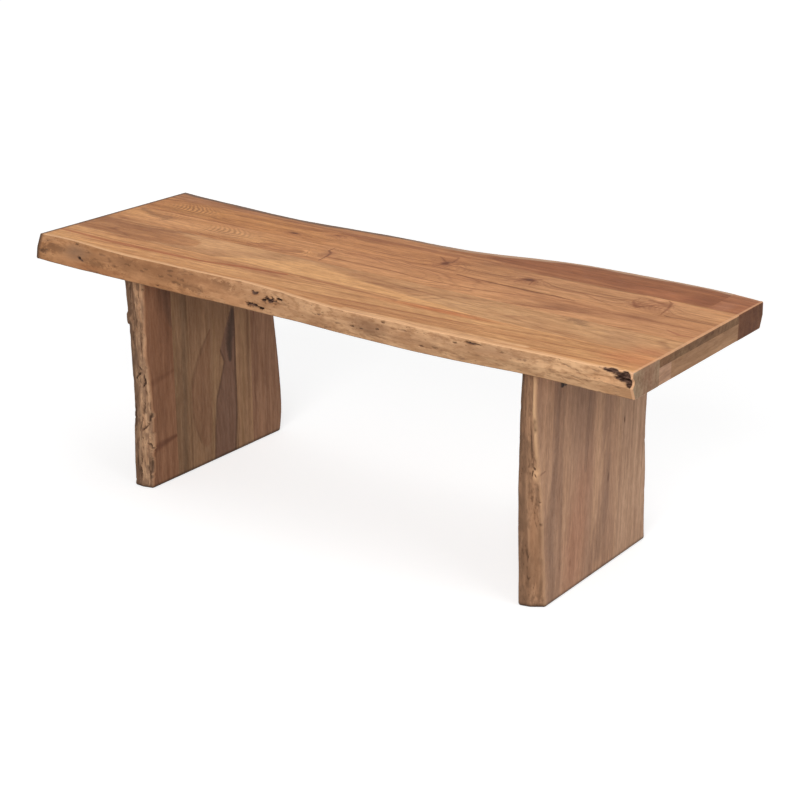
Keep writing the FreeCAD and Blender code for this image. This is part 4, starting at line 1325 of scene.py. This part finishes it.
@dataclass
class SlabLeg:
    """A slab leg: two live-edge planks with staves glued between them."""

    shop: WoodShop
    side: Side
    slot: str = "leg_wood"
    edge_arris: Pair = (0.0042, 0.0045)
    end_ease: Pair = (0.0032, 0.0032)
    # Painted shade along the bottom of every board of the leg, where it meets the floor.
    painted_foot_shade: tuple[PaintedEndLight, ...] = (PaintedEndLight(screen(58, 43, 34), 0.009, 0.9),)
    fine: float = 1.25

    def build(self) -> None:
        """Skins the planks and finishes the staves."""
        left = self.side is Side.LEFT
        planks = self.left_planks() if left else self.right_planks()
        staves = self.left_staves() if left else self.right_staves()
        for name, (timber, outward, relief, marks) in planks.items():
            node = f"{self.side.value}_leg_{name}"
            material = self.shop.finish(f"{node}_wood", timber, live=True)
            plank = LivePlank(node, timber, outward, relief, marks, arris=self.edge_arris,
                              end_ease=self.end_ease)
            plank.build(material, self.slot)
        for name, timber in staves.items():
            node = f"{self.side.value}_leg_{name}"
            dress(node, self.shop.finish(f"{node}_wood", timber))

    def timber(self, palette: Palette, pith: Pair, seed: float, **figure) -> Timber:
        """The wood of one board of the leg, with painted shade along its bottom end.

        Args:
            palette, pith, seed, figure: The board's own figure.

        Returns:
            The wood, with streaks and flecks as strong as this leg shows them.
        """
        streak, fleck = (1.0, 0.8) if self.side is Side.LEFT else (0.7, 0.9)
        return Timber(grain=Grain.LEG, palette=palette, pith=pith, seed=seed, fine=self.fine, streak=streak,
                      fleck=fleck, rims=self.painted_foot_shade, rim_at=0.0, **figure)

    def left_planks(self) -> dict[str, tuple[Timber, int, Relief, tuple[Scar, ...]]]:
        """A furrowed front edge with branch scars, and a dark red back."""
        front = self.timber(
            CLOVE, (0.05, -0.45), 8.3, wander=0.02, ring=0.35, line=0.15, sap=screen(176, 130, 98),
            sap_depth=0.005, rind=screen(202, 163, 128), smudge=screen(128, 100, 80),
            bark=screen(104, 80, 64), hollow=screen(60, 43, 35), furrow=0.8, strand=0.9, brow=1.4,
            trails=(
                drawn(screen(112, 74, 56), 0.38,
                      ((0.2, -0.172, 0.004), (0.204, -0.15, 0.006), (0.213, -0.097, 0.003)), fray=1.4,
                      bend=0.02),
                drawn(screen(98, 60, 46), 0.65,
                      ((0.072, -0.172, 0.008), (0.078, -0.145, 0.007), (0.084, -0.1, 0.003)), fray=1.4,
                      bend=0.02),
                drawn(screen(104, 80, 66), 0.5,
                      ((0.413, -0.112, 0.014), (0.36, -0.112, 0.016), (0.3, -0.1, 0.004))),
            ),
            # Painted shade on the edge's -X side, which turns away from the light.
            edge_stains=(tint((0.2, -0.44), (0.4, 0.024), (0.42, 0.43, 0.46), soft=0.5),),
        )
        back = self.timber(
            ROSE, (0.0, -0.41), 12.6, line=0.15, sap=screen(96, 72, 58), sap_depth=0.003,
            rind=screen(140, 106, 82), smudge=screen(104, 76, 58), brow=1.0,
        )
        furrows = ((0.231, -0.410, 7.5, 1.8, -51), (0.181, -0.401, 7, 1.3, 0), (0.152, -0.408, 16, 1.5, 4),
                   (0.134, -0.400, 13, 2.4, 20), (0.116, -0.4075, 8, 1.8, 40), (0.120, -0.415, 15, 1.4, 12),
                   (0.0805, -0.3995, 8.5, 1.6, -36), (0.051, -0.415, 9, 1.8, 0),
                   (0.041, -0.4245, 14, 1.4, -2), (0.024, -0.417, 12, 1.9, 0), (0.036, -0.398, 24, 1.3, 3),
                   (0.131, -0.427, 22, 1.3, 0), (0.290, -0.4215, 15, 1.4, 2), (0.281, -0.401, 18, 1.2, 4),
                   (0.330, -0.412, 22, 1.2, -3), (0.365, -0.420, 24, 1.2, 3), (0.375, -0.403, 20, 1.1, 0))
        knot = ((0.2135, -0.4183, 6, 1.6, 33), (0.220, -0.4125, 6, 1.8, 49), (0.2135, -0.4023, 9, 1.4, -5),
                (0.2005, -0.4046, 7, 1.4, 29), (0.207, -0.412, 4.5, 1.8, 0))
        marks = (
            Scar((0.325, -0.430), (0.012, 0.006), -0.005, dark=0.0),
            *scars(furrows, 0.004, dark=0.62, fray=0.7),
            *scars(knot, 0.003, dark=0.9, fray=0.3),
            Scar((0.212, -0.4070), (0.008, 0.0035), -0.002, dark=0.0),
            Scar((0.088, -0.397), (0.012, 0.005), 0.005, dark=0.2, fray=1.0),
        )
        rough = Relief(swell=0.0024, ridge=0.0016, crease=0.0024, painted_crease_shade=0.65, length=0.05, width=0.0048)
        return {"front_plank": (front, -1, rough, marks), "back_plank": (back, 1, Relief(), ())}

    def left_staves(self) -> dict[str, Timber]:
        """An olive stave, a heart stave with a flame and a dark heart streak, and a pale streaky one."""
        olive, grey, outline = screen(172, 138, 104), screen(106, 86, 68), screen(82, 60, 48)
        heart = self.timber(
            HAZEL, (-0.02, -0.36), 10.7, lean=(0.02, 0.08), wander=0.04, ring=0.35, line=0.15,
            knots=(Knot((0.15, -0.03), (0.13, 0.03), 0.03),),
            trails=(
                drawn(screen(146, 106, 82), 0.5,
                      ((0.265, 0.0, 0.001), (0.239, -0.01, 0.009), (0.196, -0.024, 0.021),
                       (0.157, -0.031, 0.027), (0.113, -0.029, 0.027), (0.08, -0.024, 0.022),
                       (0.045, -0.02, 0.01)), soft=0.3, fray=0.5, bend=0.008),
                drawn(outline, 0.25,
                      ((0.262, -0.001, 0.002), (0.239, -0.019, 0.003), (0.196, -0.045, 0.004),
                       (0.157, -0.057, 0.004), (0.113, -0.056, 0.003), (0.049, -0.035, 0.002)), bend=0.008),
                drawn(olive, 0.5,
                      ((0.28, 0.008, 0.003), (0.2, 0.012, 0.005), (0.12, 0.004, 0.004),
                       (0.0, -0.004, 0.004)), bend=0.008),
                drawn(screen(138, 106, 90), 0.85,
                      ((0.283, 0.061, 0.005), (0.251, 0.054, 0.014), (0.215, 0.046, 0.0205),
                       (0.19, 0.051, 0.015), (0.153, 0.045, 0.0215), (0.122, 0.04, 0.028),
                       (0.065, 0.0355, 0.0295), (0.0, 0.029, 0.0285)), soft=0.14, fray=0.3, bend=0.004),
                drawn(screen(78, 64, 56), 0.8,
                      ((0.285, 0.062, 0.006), (0.25, 0.056, 0.011), (0.222, 0.05, 0.008),
                       (0.19, 0.052, 0.004)), fray=1.6),
                drawn(outline, 0.45,
                      ((0.215, 0.026, 0.002), (0.19, 0.036, 0.002), (0.153, 0.024, 0.0026),
                       (0.122, 0.012, 0.0024), (0.065, 0.006, 0.002), (0.0, 0.001, 0.002))),
                drawn(outline, 0.55,
                      ((0.28, 0.067, 0.002), (0.221, 0.067, 0.0024), (0.164, 0.065, 0.0024),
                       (0.119, 0.067, 0.003), (0.075, 0.065, 0.0024), (0.0, 0.058, 0.002)), bend=0.003),
            ),
        )
        front = self.timber(
            DRAB, (-0.2, -0.4), 9.1, line=0.12,
            trails=(
                drawn(grey, 0.4,
                      ((0.413, -0.07, 0.005), (0.26, -0.068, 0.006), (0.14, -0.075, 0.006),
                       (0.0, -0.08, 0.004)), fray=1.4, bend=0.008),
                drawn(olive, 0.3, ((0.36, -0.094, 0.003), (0.16, -0.094, 0.004))),
            ),
        )
        back = self.timber(
            SAND, (0.3, -0.4), 11.9, line=0.15,
            trails=(
                drawn(olive, 0.4, ((0.4, 0.078, 0.004), (0.21, 0.09, 0.006), (0.0, 0.08, 0.005)), fray=1.4),
                drawn(outline, 0.25, ((0.3, 0.104, 0.003), (0.1, 0.102, 0.003))),
            ),
        )
        return {"front_stave": front, "heart_stave": heart, "back_stave": back}

    def right_planks(self) -> dict[str, tuple[Timber, int, Relief, tuple[Scar, ...]]]:
        """A smooth front edge with one knot, a pale upper arris with a painted highlight along it and painted
        shade on its -X side, and a plain back.
        """
        front = self.timber(
            UMBER, (0.05, 0.4), 13.2, wander=0.02, line=0.12, sap=screen(206, 164, 128), sap_depth=0.006,
            sap_amount=0.3, rind=screen(166, 126, 96), smudge=screen(122, 92, 70), bark=screen(100, 74, 56),
            strand=0.7, brow=1.0,
            stains=(
                Stain((0.37, -0.0985), (0.0048, 0.0055), screen(26, 20, 18), 0.97, power=3.0, soft=0.3),
            ),
            trails=(
                drawn(screen(120, 82, 60), 0.5,
                      ((0.246, -0.178, 0.003), (0.238, -0.16, 0.0025), (0.24, -0.14, 0.001)), fray=1.6),
                drawn(screen(136, 106, 88), 0.55,
                      ((0.41, -0.104, 0.003), (0.3, -0.109, 0.005), (0.22, -0.112, 0.007),
                       (0.15, -0.12, 0.012), (0.0, -0.106, 0.008)), fray=1.8, bend=0.012),
            ),
            edge_stains=(
                # Painted shade on the edge's -X side, which turns away from the light.
                tint((0.2, 0.388), (0.4, 0.02), (0.6, 0.6, 0.62)),
                Stain((0.36, 0.394), (0.1, 0.006), screen(62, 48, 40), 0.7, power=3.0, soft=0.6, fray=1.0),
                Stain((0.22, 0.404), (0.05, 0.005), screen(104, 76, 58), 0.6, soft=0.9, fray=2.0),
                Stain((0.08, 0.408), (0.06, 0.006), screen(112, 80, 58), 0.6, soft=0.9, fray=2.0),
                Stain((0.34, 0.4305), (0.075, 0.0022), screen(222, 180, 136), 0.7, soft=0.8),
                Stain((0.24, 0.4265), (0.013, 0.006), screen(220, 174, 132), 0.7, soft=0.6),
                Stain((0.12, 0.421), (0.08, 0.006), screen(156, 112, 80), 0.5, soft=0.9, fray=1.6),
            ),
        )
        back = self.timber(
            SHELL, (0.0, 0.41), 16.4, line=0.12, sap=screen(120, 92, 74), sap_depth=0.003,
            rind=screen(160, 124, 98), brow=1.0,
        )
        marks = (
            Scar((0.2475, 0.4245), (0.0030, 0.0026), 0.002, fray=0.4, dark=0.8),
            Scar((0.240, 0.4215), (0.0070, 0.0015), 0.0015, turn=8, fray=0.5, dark=0.75),
            Scar((0.237, 0.4262), (0.0035, 0.0012), 0.0015, turn=-20, fray=0.3, dark=0.6),
            Scar((0.232, 0.426), (0.012, 0.005), -0.0025, dark=0.0),
            *(Scar(at, (0.009, 0.0016), 0.001, dark=0.5, fray=1.4)
              for at in ((0.264, 0.4225), (0.258, 0.4150), (0.196, 0.4180))),
        )
        smooth = Relief(swell=0.0016, ridge=0.001, crease=0.0014, painted_crease_shade=0.55, length=0.05, width=0.0055)
        return {"front_plank": (front, -1, smooth, marks), "back_plank": (back, 1, smooth, ())}

    def right_staves(self) -> dict[str, Timber]:
        """Wide grey-brown wood with slanting pale streaks."""
        pale, dusk = screen(214, 172, 138), screen(138, 108, 91)
        wide = self.timber(
            UMBER, (0.12, 0.33), 14.8, lean=(0.02, -0.03), wander=0.05, ring=0.4, line=0.1,
            stains=(
                Stain((0.37, -0.0885), (0.0052, 0.0065), screen(26, 20, 18), 0.97, power=3.0, soft=0.3),
                Stain((0.162, 0.055), (0.008, 0.0022), screen(104, 68, 52), 0.7, soft=0.5),
                Stain((0.05, -0.056), (0.006, 0.004), screen(120, 84, 66), 0.4, soft=0.5),
                Stain((0.085, -0.042), (0.12, 0.03), screen(184, 132, 106), 0.6, turn=8, soft=0.8, fray=1.4),
                Stain((0.3, -0.05), (0.1, 0.028), screen(172, 138, 116), 0.3, soft=0.9, fray=1.6),
            ),
            trails=(
                drawn(pale, 0.45,
                      ((0.413, 0.036, 0.002), (0.296, 0.021, 0.005), (0.182, 0.015, 0.005),
                       (0.06, 0.008, 0.003)),
                      ((0.25, 0.046, 0.002), (0.192, 0.034, 0.005), (0.15, 0.026, 0.002)), fray=1.6,
                      bend=0.012),
                drawn(dusk, 0.4, ((0.2, 0.058, 0.004), (0.115, 0.046, 0.012), (0.03, 0.03, 0.01)),
                      ((0.38, -0.012, 0.003), (0.27, -0.016, 0.008), (0.2, -0.02, 0.003)), fray=1.4,
                      bend=0.012),
                drawn(screen(128, 100, 84), 0.35,
                      ((0.4, -0.09, 0.003), (0.25, -0.092, 0.003), (0.1, -0.088, 0.004),
                       (0.0, -0.088, 0.003)), fray=2.4, bend=0.006),
            ),
        )
        back = self.timber(
            SHELL, (0.3, 0.4), 15.5, line=0.12,
            stains=(Stain((0.25, 0.1), (0.006, 0.002), screen(100, 64, 48), 0.8, soft=0.5),),
            trails=(
                drawn(pale, 0.4, ((0.38, 0.09, 0.003), (0.2, 0.087, 0.005), (0.0, 0.082, 0.004)), fray=1.6),
            ),
        )
        return {"wide_stave": wide, "back_stave": back}


@dataclass
class Underside:
    """The cross battens under the top and the filler block beside one of them."""

    shop: WoodShop

    def build(self) -> None:
        """Finishes the battens, their grain across the bench."""
        battens = {
            "end_batten_left": (SHELL, (-0.8, 0.42), 17.3, 0.3),
            "end_batten_right": (STRAW, (0.8, 0.42), 18.1, 0.15),
            "end_filler_block": (UMBER, (0.7, 0.44), 19.6, 0.3),
            "centre_batten": (AMBER, (0.2, 0.42), 20.2, 0.3),
            "leg_batten_left": (AMBER, (-0.6, 0.40), 21.4, 0.3),
            "leg_batten_right": (UMBER, (0.6, 0.40), 22.8, 0.3),
        }
        for node, (palette, pith, seed, line) in battens.items():
            timber = Timber(grain=Grain.CROSS, palette=palette, pith=pith, seed=seed, line=line)
            dress(node, self.shop.finish(f"{node}_wood", timber))


@dataclass(frozen=True)
class MetalFinish:
    """A fitting's metal: its colour, the colour of its worn places and how rough both are."""

    name: str
    colour: Colour
    worn: Colour
    metallic: float
    roughness: Pair
    wear: Pair = (0.62, 0.72)

    def material(self) -> bpy.types.Material:
        """Makes the metal's material."""
        material = bpy.data.materials.new(self.name)
        material.use_nodes = True
        graph = ShaderGraph(material.node_tree)
        shader = material.node_tree.nodes["Principled BSDF"]
        shader.inputs["Metallic"].default_value = self.metallic
        place = graph.node("ShaderNodeTexCoord").outputs["Object"]
        cloud = graph.noise(place, (60, 60, 60), 4, 0.6)
        fine = graph.noise(place, (900, 900, 900), 2)
        worn = graph.ease(cloud, *self.wear)
        bump = graph.node("ShaderNodeBump", {"Strength": 0.2, "Distance": 0.0002, "Height": fine})
        graph.feed(shader.inputs["Base Color"], graph.mix(worn, self.colour, self.worn))
        graph.feed(shader.inputs["Roughness"], graph.ease(fine, 0.3, 0.7, *self.roughness))
        graph.feed(shader.inputs["Normal"], bump.outputs[0])
        return material


@dataclass
class Hardware:
    """The steel and brass that holds the legs to the top."""

    plate: MetalFinish = MetalFinish("black_steel", screen(34, 34, 36), screen(70, 68, 66), 0.3, (0.45, 0.6))
    steel: MetalFinish = MetalFinish("zinc_steel", screen(172, 174, 176), screen(120, 120, 122), 1.0,
                                     (0.3, 0.45))
    brass: MetalFinish = MetalFinish("brass", screen(196, 164, 92), screen(140, 110, 62), 1.0, (0.3, 0.45))

    def build(self) -> None:
        """Finishes the plates, bolts, screws and inserts at both legs."""
        finishes = {"leg_plate": self.plate, "seat_bolts": self.steel, "leg_screws": self.steel,
                    "threaded_inserts": self.brass}
        made = {finish.name: finish.material() for finish in (self.plate, self.steel, self.brass)}
        for name, finish in finishes.items():
            for side in Side:
                dress(f"{name}_{side.value}", made[finish.name])


@dataclass(frozen=True)
class Lamp:
    """A soft rectangular lamp that points at a place."""

    name: str
    place: Triple
    aim: Triple
    size: Pair
    power: float

    def hang(self) -> None:
        """Puts the lamp in the scene."""
        light = bpy.data.lights.new(self.name, "AREA")
        light.shape = "RECTANGLE"
        light.size, light.size_y = self.size
        light.energy = self.power
        lamp = bpy.data.objects.new(self.name, light)
        lamp.location = self.place
        lamp.rotation_euler = (Vector(self.aim) - Vector(self.place)).to_track_quat("-Z", "Y").to_euler()
        bpy.context.scene.collection.objects.link(lamp)


@dataclass
class Studio:
    """The pale floor, the soft light and the camera."""

    camera_place: Triple = (1.707, -2.205, 1.286)
    azimuth: float = 36.94
    elevation: float = 21.03
    lens: float = 77.27
    sensor: float = 36.0
    ambient: float = 0.30
    floor_reach: float = 30.0
    floor_drop: float = 0.0004
    floor_glow: Pair = (0.60, 0.85)
    glow_reach: Pair = (0.9, 3.4)
    lamps: tuple[Lamp, ...] = (
        Lamp("key", (1.2, -3.0, 2.1), (0.1, 0.0, 0.35), (2.2, 1.6), 88.0),
        Lamp("side", (2.9, -0.4, 2.4), (0.0, 0.0, 0.35), (2.0, 1.6), 26.0),
        Lamp("overhead", (-0.4, 0.3, 3.2), (-0.1, 0.0, 0.4), (3.2, 2.2), 24.0),
    )

    def build(self) -> None:
        """Sets up the whole studio."""
        self.add_camera()
        self.add_floor()
        self.light_world()
        for lamp in self.lamps:
            lamp.hang()
        bpy.context.scene.view_settings.view_transform = "Standard"

    def add_camera(self) -> None:
        """Puts the camera where the photograph was taken from."""
        data = bpy.data.cameras.new("camera")
        data.lens = self.lens
        data.sensor_width = self.sensor
        camera = bpy.data.objects.new("camera", data)
        camera.location = self.camera_place
        camera.rotation_euler = (math.radians(90 - self.elevation), 0.0, math.radians(self.azimuth))
        bpy.context.scene.collection.objects.link(camera)
        bpy.context.scene.camera = camera

    def seen_directly(self, graph: ShaderGraph) -> bpy.types.NodeSocket:
        """1 where the camera looks, straight on, by a reflection or through clear matter."""
        rays = graph.node("ShaderNodeLightPath").outputs
        mirrored = graph.math("MAXIMUM", rays["Is Glossy Ray"], rays["Is Transmission Ray"])
        return graph.math("MAXIMUM", rays["Is Camera Ray"], mirrored)

    def add_floor(self) -> None:
        """Lays the floor: white to the camera, with the bench's shadow on it, and clear from below."""
        shape = bmesh.new()
        bmesh.ops.create_grid(shape, x_segments=1, y_segments=1, size=self.floor_reach)
        bmesh.ops.translate(shape, verts=shape.verts, vec=(0, 0, -self.floor_drop))
        mesh = bpy.data.meshes.new("floor")
        shape.to_mesh(mesh)
        shape.free()
        floor = bpy.data.objects.new("floor", mesh)
        bpy.context.scene.collection.objects.link(floor)
        material = bpy.data.materials.new("pale_floor")
        material.use_nodes = True
        graph = ShaderGraph(material.node_tree)
        paint = material.node_tree.nodes["Principled BSDF"]
        paint.inputs["Base Color"].default_value = (0.6, 0.6, 0.6, 1.0)
        paint.inputs["Roughness"].default_value = 0.9
        paint.inputs["Specular IOR Level"].default_value = 0.0
        paint.inputs["Emission Color"].default_value = (1.0, 1.0, 1.0, 1.0)
        away = graph.vector("LENGTH", graph.node("ShaderNodeTexCoord").outputs["Object"])
        seen, glow = self.seen_directly(graph), graph.ease(away, *self.glow_reach, *self.floor_glow)
        graph.feed(paint.inputs["Emission Strength"], graph.math("MULTIPLY", seen, glow))
        clear = graph.node("ShaderNodeBsdfTransparent")
        back = graph.node("ShaderNodeNewGeometry").outputs["Backfacing"]
        sides = graph.node("ShaderNodeMixShader", {0: back, 1: paint.outputs[0], 2: clear.outputs[0]})
        graph.feed(material.node_tree.nodes["Material Output"].inputs["Surface"], sides.outputs[0])
        mesh.materials.append(material)

    def light_world(self) -> None:
        """Lights the scene from all round, with a white background to the camera."""
        world = bpy.data.worlds.new("studio")
        bpy.context.scene.world = world
        world.use_nodes = True
        graph = ShaderGraph(world.node_tree)
        sky = world.node_tree.nodes["Background"]
        sky.inputs["Color"].default_value = (1.0, 1.0, 1.0, 1.0)
        graph.feed(sky.inputs["Strength"], graph.ease(self.seen_directly(graph), 0.0, 1.0, self.ambient, 1.0))


def main() -> None:
    """Builds the studio and dresses the bench."""
    logging.basicConfig(level=logging.INFO, format="%(name)s: %(message)s")
    Studio().build()
    shop = WoodShop()
    for assembly in (Seat(shop), *(SlabLeg(shop, side) for side in Side), Underside(shop), Hardware()):
        assembly.build()


if __name__ == "__main__":
    main()
